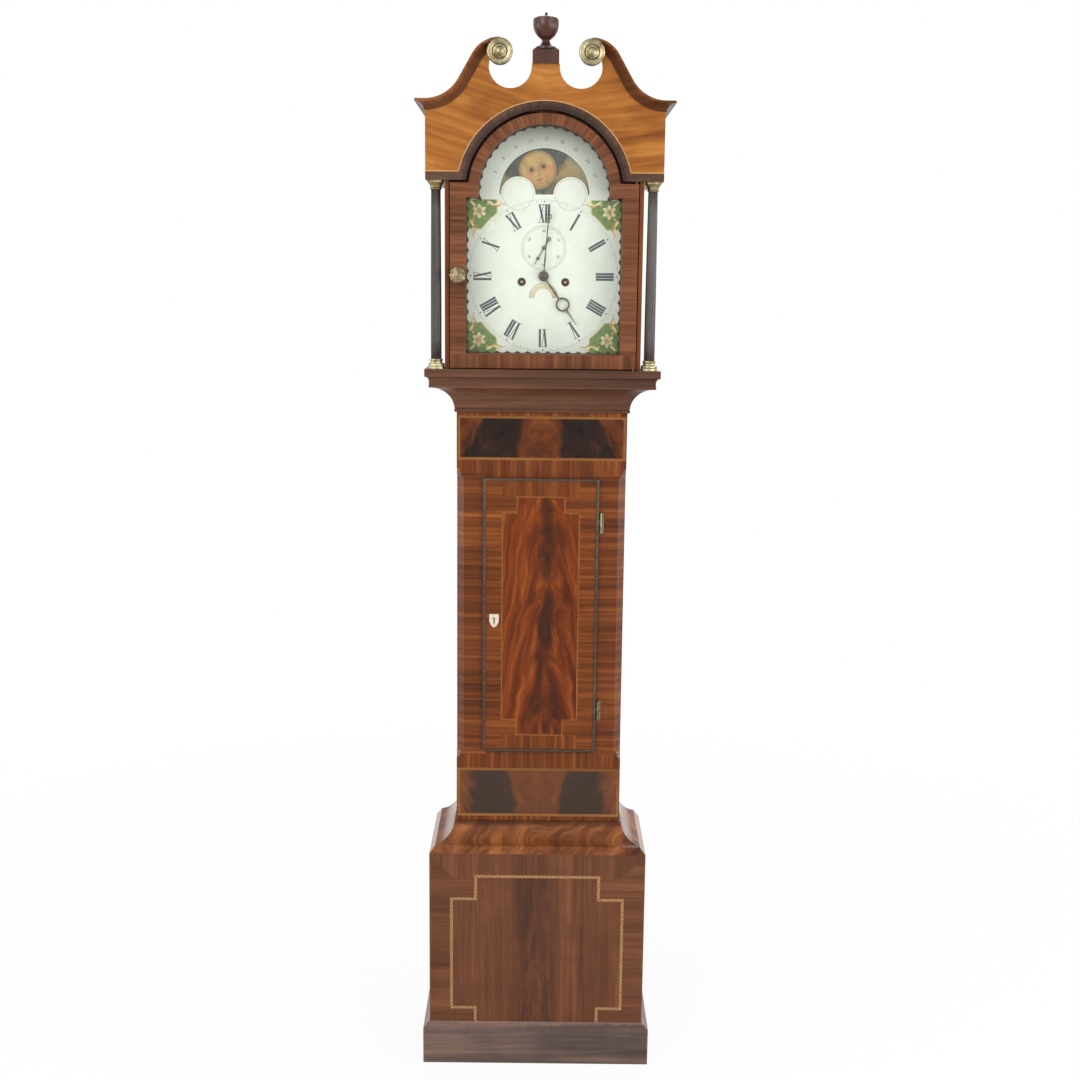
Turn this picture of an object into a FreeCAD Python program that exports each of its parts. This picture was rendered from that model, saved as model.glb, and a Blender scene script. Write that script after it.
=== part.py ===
"""Longcase clock: a jointed case, hood and eight-day movement, each piece its own named solid.

Frame: Z up from the floor, X to the right seen from the front, front towards -Y. Depths are measured
forward from the back plane of the case, so y = half_depth - depth.
"""
import math
import os

import FreeCAD
import Part
import Sketcher

SIZES = {
    # case outline
    "trunk_half_width": 183.7,
    "trunk_front": 185.0,
    "base_overhang": 58.0,
    "plinth_projection": 14.0,
    "plinth_face_height": 84.0,
    "plinth_height": 95.5,
    "base_top": 499.0,
    "base_cove_top": 556.0,
    "cornice_foot": 1480.5,
    "cornice_top": 1540.5,
    "board_thickness": 12.0,
    "base_board_thickness": 14.0,
    "floor_board_thickness": 16.0,
    "trunk_side_foot": 470.0,
    "stile_thickness": 20.0,
    "chamfer_foot": 702.5,
    "chamfer_head": 1361.0,
    "chamfer_depth": 11.0,
    "backboard_top": 2078.0,
    "backboard_clearance": 2.0,
    # trunk door
    "door_half_width": 125.8,
    "door_foot": 722.0,
    "door_head": 1339.0,
    "door_lip": 7.8,
    "door_lip_thickness": 8.0,
    "door_board_thickness": 15.0,
    "door_clearance": 0.5,
    "hinge_offset": 4.4,
    "hinge_stand_off": 4.6,
    "hinge_length": 45.0,
    "hinge_upper_foot": 1219.0,
    "hinge_lower_foot": 795.0,
    "knuckle_radius": 3.2,
    "escutcheon_x": 101.0,
    "escutcheon_height": 1023.0,
    # hood
    "hood_inner_half_width": 186.0,
    "hood_base_overhang": 62.0,
    "hood_base_top": 1575.0,
    "hood_wall_half_width": 206.0,
    "hood_wall_thickness": 8.5,
    "hood_wall_front": 228.0,
    "ear_foot": 1961.5,
    "ear_band_height": 15.5,
    "frieze_half_width": 245.5,
    "frieze_back": 220.0,
    "frieze_thickness": 16.0,
    "frieze_side_thickness": 12.0,
    "soffit_thickness": 9.5,
    # the roof above the arch of the hood door
    "roof_foot": 2.2,
    "roof_thickness": 10.0,
    "arch_rise": 169.8,
    "arch_inner_radius": 163.0,
    "arch_band_width": 17.0,
    "arch_band_projection": 2.0,
    "crown_height": 20.0,
    "crown_projection": 20.0,
    # the crown above the ear band, and the crest above the crown
    "crown_tip_top": 158.5,
    "swan_crest": 120.0,
    "swan_crest_x": 93.0,
    "swan_lower_radius": 80.0,
    "scroll_radius": 24.5,
    # drops below the crest
    "scroll_centre": 28.0,
    "rosette_thickness": 6.0,
    "rosette_radius": 26.0,
    "void_centre": 53.0,
    "void_x": 72.0,
    "void_radius": 43.5,
    "block_half_width": 27.0,
    # above the middle of the void
    "block_foot": 5.0,
    "block_height": 29.0,
    "urn_height": 72.0,
    "urn_radius": 26.5,
    # in from the end of the frieze
    "column_x": 20.5,
    "column_depth": 216.0,
    "column_radius": 11.5,
    "column_base_height": 20.0,
    "column_capital_height": 18.5,
    "mask_back": 186.0,
    "mask_thickness": 6.0,
    "sight_half_width": 161.5,
    "sight_foot_drop": 161.0,
    "sight_head_rise": 158.5,
    "sight_arch_radius": 136.0,
    # hood door, with its gaps above the base and below the ear band
    "hood_door_half_width": 195.5,
    "hood_door_foot": 2.0,
    "hood_door_head": 4.5,
    "hood_door_back": 208.0,
    "hood_door_front": 230.0,
    "hood_door_arch_radius": 158.0,
    # pivot and knob, in from the edge of the door
    "pivot_x": 5.0,
    "knob_x": 17.5,
    "pivot_depth": 227.0,
    "pivot_radius": 2.0,
    "glass_thickness": 2.0,
    "glass_margin": 5.0,
    "knob_radius": 16.5,
    "knob_length": 26.0,
    # dial and movement
    "dial_centre": 1769.0,
    "dial_half_width": 165.0,
    "dial_arch_radius": 139.0,
    "dial_back": 158.0,
    "dial_thickness": 2.0,
    "disc_back": 154.0,
    "disc_thickness": 1.6,
    "moon_disc_radius": 101.0,
    "moon_aperture_radius": 95.0,
    "moon_hump_x": 55.5,
    "moon_hump_radius": 36.5,
    "date_drop": 47.0,
    "date_disc_radius": 36.0,
    "winding_x": 46.5,
    "winding_drop": 12.0,
    "winding_hole_radius": 7.0,
    "seconds_rise": 59.0,
    "pallet_rise": 87.0,
    "plate_half_width": 78.0,
    "plate_height": 186.0,
    "plate_thickness": 3.5,
    "plate_gap": 60.0,
    "back_plate_depth": 62.0,
    "pillar_radius": 4.5,
    "pillar_x": 52.0,
    "seatboard_drop": 82.0,
    "seatboard_thickness": 20.0,
    "seatboard_back": 48.0,
    "seatboard_front": 140.0,
    "pivot_clearance": 0.06,
    "arbor_radius": 1.2,
    "winding_arbor_radius": 4.0,
    "minute_stud_radius": 1.0,
    "barrel_radius": 23.7,
    "line_radius": 1.1,
    "minute_hand_depth": 171.5,
    "hour_hand_depth": 166.0,
    "seconds_hand_depth": 162.5,
    "bell_radius": 42.0,
    "bell_rise": 115.0,
    # pendulum and weights
    "pendulum_depth": 38.0,
    "pendulum_length": 985.0,
    "crutch_length": 150.0,
    "rod_radius": 2.5,
    "bob_radius": 56.0,
    "bob_half_thickness": 14.0,
    "weight_radius": 32.0,
    "weight_foot": 1010.0,
    "weight_height": 240.0,
    "weight_depth": 95.0,
    "pulley_radius": 23.0,
    "pulley_rise": 50.0,
}

# tooth counts of the two trains and the motion work
GREAT, CENTRE_PINION = 96, 8
CENTRE, THIRD_PINION = 60, 8
THIRD, ESCAPE_PINION = 56, 7
ESCAPE = 30
STRIKE_GREAT, PIN_PINION = 78, 8
PIN, GATHERING_PINION = 56, 7
GATHERING, WARNING_PINION = 49, 7
WARNING, FLY_PINION = 42, 7
CANNON, MINUTE = 36, 36
MINUTE_PINION, HOUR = 6, 72
# slope of the straight part of the swan neck
SWAN_SINE = math.sqrt(3) / 2
SWAN_COSINE = 0.5

document = FreeCAD.newDocument("LongcaseClock")
sheet = document.addObject("Spreadsheet::Sheet", "Sizes")
PIECES = []


class Size:
    """A length as an expression on the sheet together with its present value."""

    def __init__(self, text, value):
        self.text = text
        self.value = value

    def _join(self, other, sign, value):
        return Size(f"({self.text} {sign} {size(other).text})", value)

    def __add__(self, other):
        return self._join(other, "+", self.value + size(other).value)

    def __radd__(self, other):
        return size(other) + self

    def __sub__(self, other):
        return self._join(other, "-", self.value - size(other).value)

    def __rsub__(self, other):
        return size(other) - self

    def __mul__(self, other):
        return self._join(other, "*", self.value * size(other).value)

    def __rmul__(self, other):
        return size(other) * self

    def __truediv__(self, other):
        return self._join(other, "/", self.value / size(other).value)

    def __neg__(self):
        return Size(f"(0 - {self.text})", -self.value)


class Names:
    """Holds the driving sizes as attributes."""


class Arc:
    """Marks the run from one corner to the next as an arc, its centre left or right of travel."""

    def __init__(self, radius, left):
        self.radius = size(radius)
        self.left = left


def size(value):
    """Return any number as a Size."""
    if isinstance(value, Size):
        return value
    return Size(repr(float(value)), float(value))


def root(value):
    """Square root of a Size."""
    return Size(f"sqrt({value.text})", math.sqrt(value.value))


def leg(radius, other):
    """The other leg of a right triangle, from its long side and one leg."""
    return root(size(radius) * radius - size(other) * other)


S = Names()
for row, (name, number) in enumerate(SIZES.items(), start=1):
    sheet.set(f"A{row}", name)
    sheet.set(f"B{row}", str(number))
    sheet.setAlias(f"B{row}", name)
    setattr(S, name, Size(f"Sizes.{name}", number))
document.recompute()


def bind(obj, target, value):
    """Drive one property from the sheet."""
    obj.setExpression(target, size(value).text)


def place(obj, x, depth, z):
    """Drive an object's position."""
    bind(obj, "Placement.Base.x", x)
    bind(obj, "Placement.Base.y", half_depth - depth)
    bind(obj, "Placement.Base.z", z)


frieze_front = S.frieze_back + S.frieze_thickness
crown_front = frieze_front + S.crown_projection
half_depth = (crown_front + S.rosette_thickness) / 2
base_front = S.trunk_front + S.base_overhang
base_half_width = S.trunk_half_width + S.base_overhang
arch_centre = S.dial_centre + S.arch_rise
dial_front = S.dial_back + S.dial_thickness
front_plate_depth = S.back_plate_depth + S.plate_thickness + S.plate_gap
layer_zero = S.back_plate_depth + S.plate_thickness
wall_inner = S.hood_wall_half_width - S.hood_wall_thickness
crown_top = S.ear_foot + S.crown_tip_top
roof_foot = arch_centre + S.hood_door_arch_radius + S.roof_foot
crest = crown_top + S.swan_crest
scroll_height = crest - S.scroll_centre
void_height = crest - S.void_centre
block_foot = void_height + S.block_foot
column_x = S.frieze_half_width - S.column_x
hood_door_foot = S.hood_base_top + S.hood_door_foot
hood_door_head = S.ear_foot - S.hood_door_head
pivot_x = S.hood_door_half_width - S.pivot_x
knob_x = S.hood_door_half_width - S.knob_x


def box(name, left, right, back, front, foot, head):
    """A board between two x positions, two depths and two heights."""
    obj = document.addObject("Part::Box", name)
    bind(obj, "Length", size(right) - left)
    bind(obj, "Width", size(front) - back)
    bind(obj, "Height", size(head) - foot)
    place(obj, left, front, foot)
    return obj


def rod(name, x, z, back, front, radius):
    """A round bar lying front to back."""
    obj = document.addObject("Part::Cylinder", name)
    bind(obj, "Radius", radius)
    bind(obj, "Height", size(front) - back)
    obj.Placement.Rotation = FreeCAD.Rotation(FreeCAD.Vector(1, 0, 0), 90)
    place(obj, x, back, z)
    return obj


def post(name, x, depth, foot, head, radius):
    """An upright round bar."""
    obj = document.addObject("Part::Cylinder", name)
    bind(obj, "Radius", radius)
    bind(obj, "Height", size(head) - foot)
    place(obj, x, depth, foot)
    return obj


def cut(name, base, *tools):
    """The base with each tool taken out of it."""
    obj = document.addObject("Part::Cut", name)
    obj.Base = base
    obj.Tool = tools[0] if len(tools) == 1 else fuse(name + "_tools", *tools)
    return obj


def fuse(name, *shapes):
    """Several shapes made one solid."""
    obj = document.addObject("Part::MultiFuse", name)
    obj.Shapes = list(shapes)
    return obj


def group(name, *shapes):
    """Several solids kept apart in one object."""
    obj = document.addObject("Part::Compound", name)
    obj.Links = list(shapes)
    return obj


def mirror(name, source):
    """The same shape on the other side of the clock."""
    obj = document.addObject("Part::Mirroring", name)
    obj.Source = source
    obj.Normal = FreeCAD.Vector(1, 0, 0)
    return obj


def pair(name, source):
    """A shape and its mirror image as two solids."""
    return group(name + "_pair", source, mirror(name + "_other", source))


def piece(name, *shapes):
    """Keep a finished piece for export under its own name."""
    obj = shapes[0] if len(shapes) == 1 else group(name + "_group", *shapes)
    obj.Label = name
    PIECES.append(obj)
    return obj


def pin_point(sketch, index, position, point):
    """Drive one corner of a sketch from the sheet."""
    for kind, value, axis in (("DistanceX", point[0], -2), ("DistanceY", point[1], -1)):
        value = size(value)
        if value.text == "0.0":
            sketch.addConstraint(Sketcher.Constraint("PointOnObject", index, position, axis))
            continue
        number = sketch.addConstraint(Sketcher.Constraint(kind, index, position, value.value))
        sketch.setExpression(f"Constraints[{number}]", value.text)


def arc_geometry(start, end, bend):
    """An arc between two corners, and whether it runs clockwise."""
    a = FreeCAD.Vector(size(start[0]).value, size(start[1]).value, 0)
    b = FreeCAD.Vector(size(end[0]).value, size(end[1]).value, 0)
    chord = b - a
    side = FreeCAD.Vector(-chord.y, chord.x, 0).normalize()
    reach = math.sqrt(max(bend.radius.value ** 2 - (chord.Length / 2) ** 2, 0))
    centre = (a + b) * 0.5 + side * (reach if bend.left else -reach)
    circle = Part.Circle(centre, FreeCAD.Vector(0, 0, 1), bend.radius.value)
    first, last = (a, b) if bend.left else (b, a)
    angles = [math.atan2(p.y - centre.y, p.x - centre.x) for p in (first, last)]
    return Part.ArcOfCircle(circle, angles[0], angles[1])


def draw(sketch, corners, closed=True):
    """Draw a run of corners; an Arc after a corner bends the way to the next one."""
    points = [c for c in corners if not isinstance(c, Arc)]
    bends = {}
    for item, following in zip(corners, corners[1:] + corners[:1]):
        if isinstance(following, Arc):
            bends[points.index(item)] = following
    runs = []
    count = len(points) if closed else len(points) - 1
    for number in range(count):
        start = points[number]
        end = points[(number + 1) % len(points)]
        bend = bends.get(number)
        if bend is None:
            ends = [FreeCAD.Vector(size(p[0]).value, size(p[1]).value, 0) for p in (start, end)]
            index = sketch.addGeometry(Part.LineSegment(*ends))
            runs.append((index, 1, 2))
        else:
            index = sketch.addGeometry(arc_geometry(start, end, bend))
            runs.append((index, 1, 2) if bend.left else (index, 2, 1))
            radius = sketch.addConstraint(Sketcher.Constraint("Radius", index, bend.radius.value))
            sketch.setExpression(f"Constraints[{radius}]", bend.radius.text)
        pin_point(sketch, index, runs[-1][1], start)
    if not closed:
        pin_point(sketch, runs[-1][0], runs[-1][2], points[-1])
    last = len(runs) if closed else len(runs) - 1
    for number in range(last):
        one = runs[number]
        two = runs[(number + 1) % len(runs)]
        sketch.addConstraint(Sketcher.Constraint("Coincident", one[0], one[2], two[0], two[1]))


def ring(sketch, x, y, radius):
    """Draw a circle."""
    centre = FreeCAD.Vector(size(x).value, size(y).value, 0)
    circle = Part.Circle(centre, FreeCAD.Vector(0, 0, 1), size(radius).value)
    index = sketch.addGeometry(circle)
    number = sketch.addConstraint(Sketcher.Constraint("Radius", index, size(radius).value))
    sketch.setExpression(f"Constraints[{number}]", size(radius).text)
    pin_point(sketch, index, 3, (x, y))


def sketch_on(body, plane, offset):
    """A sketch on one of the body's own planes, moved along its normal."""
    sketch = body.newObject("Sketcher::SketchObject", body.Name + "_sketch")
    support = next(item for item in body.Origin.OriginFeatures if item.Role == plane + "_Plane")
    sketch.AttachmentSupport = (support, [""])
    sketch.MapMode = "FlatFace"
    bind(sketch, "AttachmentOffset.Base.z", offset)
    return sketch


def prism(name, plane, start, end, outline, holes=()):
    """A body of one outline, with holes, between two stations along the plane's normal."""
    body = document.addObject("PartDesign::Body", name)
    sketch = sketch_on(body, plane, start)
    draw(sketch, outline)
    for hole in holes:
        if isinstance(hole, list):
            draw(sketch, hole)
        else:
            ring(sketch, *hole)
    pad = body.newObject("PartDesign::Pad", name + "_pad")
    pad.Profile = sketch
    bind(pad, "Length", size(end) - start)
    sketch.Visibility = False
    return body


def panel(name, back, front, outline, holes=()):
    """An upright sheet seen from the front, between two depths."""
    return prism(name, "XZ", size(back) - half_depth, size(front) - half_depth, outline, holes)


def turned(name, plane, axis, outline):
    """A body turned about one axis of its sketch."""
    body = document.addObject("PartDesign::Body", name)
    sketch = sketch_on(body, plane, 0)
    draw(sketch, outline)
    turn = body.newObject("PartDesign::Revolution", name + "_turn")
    turn.Profile = sketch
    turn.ReferenceAxis = (sketch, [axis])
    turn.Angle = 360
    sketch.Visibility = False
    return body


def upright(name, x, depth, z, outline):
    """A turned body on an upright axis; the outline is in radius and height."""
    body = turned(name, "XZ", "V_Axis", outline)
    place(body, x, depth, z)
    return body


def forward(name, x, depth, z, outline):
    """A turned body on a front-to-back axis; the outline is in length forward and radius."""
    flipped = []
    for item in outline:
        flipped.append(Arc(item.radius, not item.left) if isinstance(item, Arc) else (-size(item[0]), item[1]))
    body = turned(name, "YZ", "H_Axis", flipped)
    place(body, x, depth, z)
    return body


def moulding(name, half_width, face, reach, profile):
    """A moulding mitred round the front and both sides; the profile is in reach and height."""
    def across(points):
        return [p if isinstance(p, Arc) else (half_depth - face - p[0], p[1]) for p in points]

    def along(points):
        return [p if isinstance(p, Arc) else (size(half_width) + p[0], p[1]) for p in points]

    heights = [size(p[1]) for p in profile if not isinstance(p, Arc)]
    foot = min(heights, key=lambda height: height.value) - 1
    head = max(heights, key=lambda height: height.value) + 1
    tip = size(half_width) + reach
    edge = half_depth - face
    front_profile = [Arc(p.radius, not p.left) if isinstance(p, Arc) else p for p in across(profile)]
    long_bar = prism(name + "_front_bar", "YZ", -tip, tip, front_profile)
    spare = 5
    waste_right = [(half_width, edge), (tip + spare, edge - reach - spare), (tip + spare, edge)]
    right = prism(name + "_mitre_right", "XY", foot, head, waste_right)
    front = cut(name + "_front", long_bar, right, mirror(name + "_mitre_left", right))
    side_bar = prism(name + "_side_bar", "XZ", -half_depth, size(face) + reach - half_depth, along(profile))
    waste_front = [(size(half_width) - spare, edge), (half_width, edge),
                   (tip + spare, edge - reach - spare), (size(half_width) - spare, edge - reach - spare)]
    side = cut(name + "_side", side_bar, prism(name + "_mitre_front", "XY", foot, head, waste_front))
    return front, side, mirror(name + "_side_other", side)


def arch(half, foot, shoulder, radius, centre):
    """An outline square below and arched above, with level shoulders."""
    return [
        (-size(half), foot), (half, foot), (half, shoulder), (radius, shoulder), (radius, centre),
        Arc(radius, True), (0, size(centre) + radius), Arc(radius, True), (-size(radius), centre),
        (-size(radius), shoulder), (-size(half), shoulder),
    ]


def shape_piece(name, shape, x, depth, z):
    """A computed shape placed by the sheet."""
    obj = document.addObject("Part::Feature", name)
    obj.Shape = shape
    place(obj, x, depth, z)
    return obj


def polar(radius, angle):
    """A point in the plane of the wheels."""
    return FreeCAD.Vector(radius * math.cos(angle), 0, radius * math.sin(angle))


def circle_wire(radius):
    """A circle in the plane of the wheels."""
    return Part.Wire(Part.makeCircle(radius, FreeCAD.Vector(0, 0, 0), FreeCAD.Vector(0, 1, 0)))


def window_wires(outer, inner, arms, arm_half):
    """The openings between the arms of a wheel."""
    wires = []
    for number in range(arms):
        start = 2 * math.pi * number / arms
        stop = start + 2 * math.pi / arms
        spans = []
        for radius in (outer, inner):
            lean = math.asin(arm_half / radius)
            spans.append((radius, start + lean, stop - lean))
        edges = []
        corners = []
        for radius, one, two in spans:
            ends = [polar(radius, angle) for angle in (one, (one + two) / 2, two)]
            edges.append(Part.Arc(*ends).toShape())
            corners.append((ends[0], ends[2]))
        edges.append(Part.makeLine(corners[0][0], corners[1][0]))
        edges.append(Part.makeLine(corners[0][1], corners[1][1]))
        wires.append(Part.Wire(Part.__sortEdges__(edges)))
    return wires


def toothed(count, module, fill, addendum, phase):
    """The outline of a wheel or pinion with plane flanks, one tooth centred on the phase angle."""
    pitch = 2 * math.pi / count
    pitch_radius = count * module / 2
    root_radius = pitch_radius - 1.25 * module
    tip_radius = pitch_radius + addendum * module
    half = pitch * fill / 2
    points = []
    for tooth in range(count):
        centre = phase + tooth * pitch
        steps = ((root_radius, -half * 1.15), (pitch_radius, -half), (tip_radius, -half * 0.45),
                 (tip_radius, half * 0.45), (pitch_radius, half), (root_radius, half * 1.15))
        points.extend(polar(radius, centre + angle) for radius, angle in steps)
    return Part.makePolygon(points + points[:1])


def plate_shape(outline, openings, thickness):
    """A flat wheel extruded forward from the plane of its back face."""
    face = Part.makeFace([outline] + openings, "Part::FaceMakerBullseye")
    return face.extrude(FreeCAD.Vector(0, -thickness, 0))


def wheel_shape(count, module, bore, thickness, phase, arms=4):
    """A crossed-out brass wheel."""
    rim = count * module / 2 - 1.25 * module - 2.2
    hub = bore + 3.0
    openings = [circle_wire(bore)]
    if arms:
        openings += window_wires(rim, hub, arms, 1.2)
    return plate_shape(toothed(count, module, 0.42, 0.8, phase), openings, thickness)


def pinion_shape(count, module, bore, length, phase):
    """A solid leaf pinion."""
    return plate_shape(toothed(count, module, 0.36, 0.65, phase), [circle_wire(bore)], length)


class Arbor:
    """A turning shaft of the movement, its place measured from the dial centre."""

    def __init__(self, name, x, rise, radius=None):
        self.name = name
        self.x = size(x)
        self.rise = size(rise)
        self.radius = radius or S.arbor_radius
        self.parts = []

    def towards(self, other):
        """Direction to another arbor."""
        return math.atan2(other.rise.value - self.rise.value, other.x.value - self.x.value)

    def distance(self, other):
        """Distance to another arbor."""
        return math.hypot(other.rise.value - self.rise.value, other.x.value - self.x.value)

    def shaft(self, back, front):
        """Add the shaft itself."""
        name = f"{self.name}_shaft_{len(self.parts)}"
        self.parts.append(rod(name, self.x, S.dial_centre + self.rise, back, front, self.radius))

    def carry(self, label, shape, depth):
        """Add a wheel or pinion with its back face at a depth."""
        name = f"{self.name}_{label}"
        self.parts.append(shape_piece(name, shape, self.x, depth, S.dial_centre + self.rise))


def mesh(driver, driven, counts, layers, lengths):
    """Put a wheel on one arbor and the pinion it drives on another, teeth between leaves."""
    wheel_teeth, leaves = counts
    module = 2 * driver.distance(driven) / (wheel_teeth + leaves)
    line = driver.towards(driven)
    bore = driver.radius.value
    wheel = wheel_shape(wheel_teeth, module, bore, lengths[0], line)
    driver.carry(f"wheel_{wheel_teeth}", wheel, layers[0])
    phase = line + math.pi + math.pi / leaves
    pinion = pinion_shape(leaves, module, driven.radius.value, lengths[1], phase)
    driven.carry(f"pinion_{leaves}", pinion, layers[1])


def offset_arbor(name, start, reach, angle):
    """An arbor at a distance and direction from another one."""
    x = start.x + reach * math.cos(math.radians(angle))
    rise = start.rise + reach * math.sin(math.radians(angle))
    return Arbor(name, x, rise)


# plinth, base and floor
plinth_profile = [
    (0, 0), (S.plinth_projection, 0), (S.plinth_projection, S.plinth_face_height),
    (1.0, S.plinth_height), (0, S.plinth_height),
]
piece("plinth_skirting", *moulding("plinth", base_half_width, base_front, S.plinth_projection, plinth_profile))
base_inner = base_half_width - S.base_board_thickness
base_inner_front = base_front - S.base_board_thickness
piece(
    "base_panels",
    box("base_front_board", -base_half_width, base_half_width, base_inner_front, base_front, 0, S.base_top),
    pair("base_side", box("base_side", base_inner, base_half_width, 0, base_inner_front, 0, S.base_top)),
)
piece("base_floor", box("floor_board", -base_inner, base_inner, S.board_thickness, base_inner_front, 0,
                        S.floor_board_thickness))
cove_bead = S.base_cove_top - 4
base_cove_profile = [
    (0, S.base_top), (S.base_overhang, S.base_top), (S.base_overhang - 12, S.base_top + 14),
    Arc(48, False), (4.5, cove_bead), (4.5, S.base_cove_top), (0, S.base_cove_top),
]
piece("base_cove", *moulding("cove", S.trunk_half_width, S.trunk_front, S.base_overhang, base_cove_profile))

# trunk
trunk_inner = S.trunk_half_width - S.board_thickness
stile_back = S.trunk_front - S.stile_thickness
opening_half = S.door_half_width - S.door_lip
opening_foot = S.door_foot + S.door_lip
opening_head = S.door_head - S.door_lip
stop = 22.0
stop_mid = 11.0
face_at = -S.chamfer_depth
chamfer_outline = [
    (12, S.chamfer_foot), (12, S.chamfer_head), (0.5, S.chamfer_head),
    Arc(16, True), (face_at / 2, S.chamfer_head - stop_mid), Arc(16, False), (face_at, S.chamfer_head - stop),
    (face_at, S.chamfer_foot + stop), Arc(16, False), (face_at / 2, S.chamfer_foot + stop_mid),
    Arc(16, True), (0.5, S.chamfer_foot),
]
chamfer_tool = prism("chamfer_tool", "XZ", -20, 20, chamfer_outline)
chamfer_tool.Placement.Rotation = FreeCAD.Rotation(FreeCAD.Vector(0, 0, 1), -45)
place(chamfer_tool, S.trunk_half_width, S.trunk_front, 0)
stile_blank = box("stile_blank", opening_half, S.trunk_half_width, stile_back, S.trunk_front, S.base_top,
                  S.cornice_top)
stile = cut("stile", stile_blank, chamfer_tool)
piece("trunk_stiles", stile, mirror("stile_other", stile))
piece(
    "trunk_rails",
    box("upper_rail", -opening_half, opening_half, stile_back, S.trunk_front, opening_head, S.cornice_top),
    box("lower_rail", -opening_half, opening_half, stile_back, S.trunk_front, S.base_top, opening_foot),
)
seat_foot = S.dial_centre - S.seatboard_drop - S.seatboard_thickness
trunk_side = box("trunk_side", trunk_inner, S.trunk_half_width, S.board_thickness, stile_back, S.trunk_side_foot,
                 seat_foot)
piece("trunk_sides", trunk_side, mirror("trunk_side_other", trunk_side))
ear_board = wall_inner - S.backboard_clearance
ear_board_foot = S.hood_base_top + S.backboard_clearance
backboard_outline = [
    (-base_inner, 0), (base_inner, 0), (base_inner, S.base_top), (S.trunk_half_width, S.base_top),
    (S.trunk_half_width, ear_board_foot), (ear_board, ear_board_foot), (ear_board, S.backboard_top),
    (-ear_board, S.backboard_top), (-ear_board, ear_board_foot), (-S.trunk_half_width, ear_board_foot),
    (-S.trunk_half_width, S.base_top), (-base_inner, S.base_top),
]
piece("backboard", panel("back_board", 0, S.board_thickness, backboard_outline))
bead_head = S.cornice_foot + 8
cornice_reach = S.hood_base_overhang - 6
cornice_profile = [
    (0, S.cornice_foot), (3, S.cornice_foot), Arc(4.6, True), (3, bead_head), (4.5, bead_head),
    Arc(51, False), (cornice_reach, S.cornice_top - 5), (cornice_reach, S.cornice_top), (0, S.cornice_top),
]
piece("trunk_cornice", *moulding("cornice", S.trunk_half_width, S.trunk_front, cornice_reach, cornice_profile))

# trunk door and its furniture
lip_back = S.trunk_front + 0.2
lip_front = lip_back + S.door_lip_thickness
board_back = S.trunk_front - S.door_board_thickness
block_half = opening_half - S.door_clearance


def plain(half, foot, head):
    """A plain upright rectangle."""
    return [(-size(half), foot), (half, foot), (half, head), (-size(half), head)]


door_board = panel("door_board", board_back, lip_back,
                   plain(block_half, opening_foot + S.door_clearance, opening_head - S.door_clearance))
door_lip = panel("door_lip", lip_back, lip_back + 3, plain(S.door_half_width, S.door_foot, S.door_head))
door_face = panel("door_face", lip_back + 3, lip_front, plain(S.door_half_width, S.door_foot, S.door_head))
door_face.Group[-1].TaperAngle = -40
piece("trunk_door_board", fuse("door_one", door_board, door_lip, door_face))
hinge_x = S.door_half_width + S.hinge_offset
hinge_depth = S.trunk_front + S.hinge_stand_off
case_leaves = []
door_leaves = []
for label, foot in (("upper", S.hinge_upper_foot), ("lower", S.hinge_lower_foot)):
    third = S.hinge_length / 3
    head = foot + S.hinge_length
    plate = box(label + "_case_plate", hinge_x - 1.2, hinge_x + 7, S.trunk_front, S.trunk_front + 1.6, foot, head)
    low = post(label + "_low_knuckle", hinge_x, hinge_depth, foot, foot + third - 0.2, S.knuckle_radius)
    high = post(label + "_high_knuckle", hinge_x, hinge_depth, foot + third * 2 + 0.2, head, S.knuckle_radius)
    relief = post(label + "_knuckle_relief", hinge_x, hinge_depth, foot + third - 0.2, foot + third * 2 + 0.2,
                  S.knuckle_radius + 0.3)
    plate = cut(label + "_case_plate_cut", plate, relief)
    case_leaves.append(fuse(label + "_case_leaf", plate, low, high))
    leaf = box(label + "_door_plate", S.door_half_width, hinge_x - 2.6, lip_back + 0.4, lip_back + 3,
               foot + third, foot + third * 2)
    middle = post(label + "_door_knuckle", hinge_x, hinge_depth, foot + third, foot + third * 2, S.knuckle_radius)
    door_leaves.append(fuse(label + "_door_leaf", leaf, middle))
piece("trunk_hinge_plates", *case_leaves)
piece("trunk_door_hinges", *door_leaves)
piece("trunk_lock", box("lock_case", 20 - block_half, 75 - block_half, board_back - 12, board_back,
                        S.escutcheon_height - 32, S.escutcheon_height + 32))
shield_x = -S.escutcheon_x
shield = S.escutcheon_height
shield_outline = [
    (shield_x, shield - 16), Arc(19, True), (shield_x + 10.5, shield + 1), (shield_x + 10.5, shield + 14),
    (shield_x - 10.5, shield + 14), (shield_x - 10.5, shield + 1), Arc(19, True),
]
keyhole = [(shield_x - 1.3, shield - 7), (shield_x + 1.3, shield - 7), (shield_x + 1.3, shield + 1),
           (shield_x - 1.3, shield + 1)]
piece("keyhole_escutcheon", panel("shield_plate", lip_front, lip_front + 1.4, shield_outline,
                                  [keyhole, (shield_x, shield + 4, 2.4)]))

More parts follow.
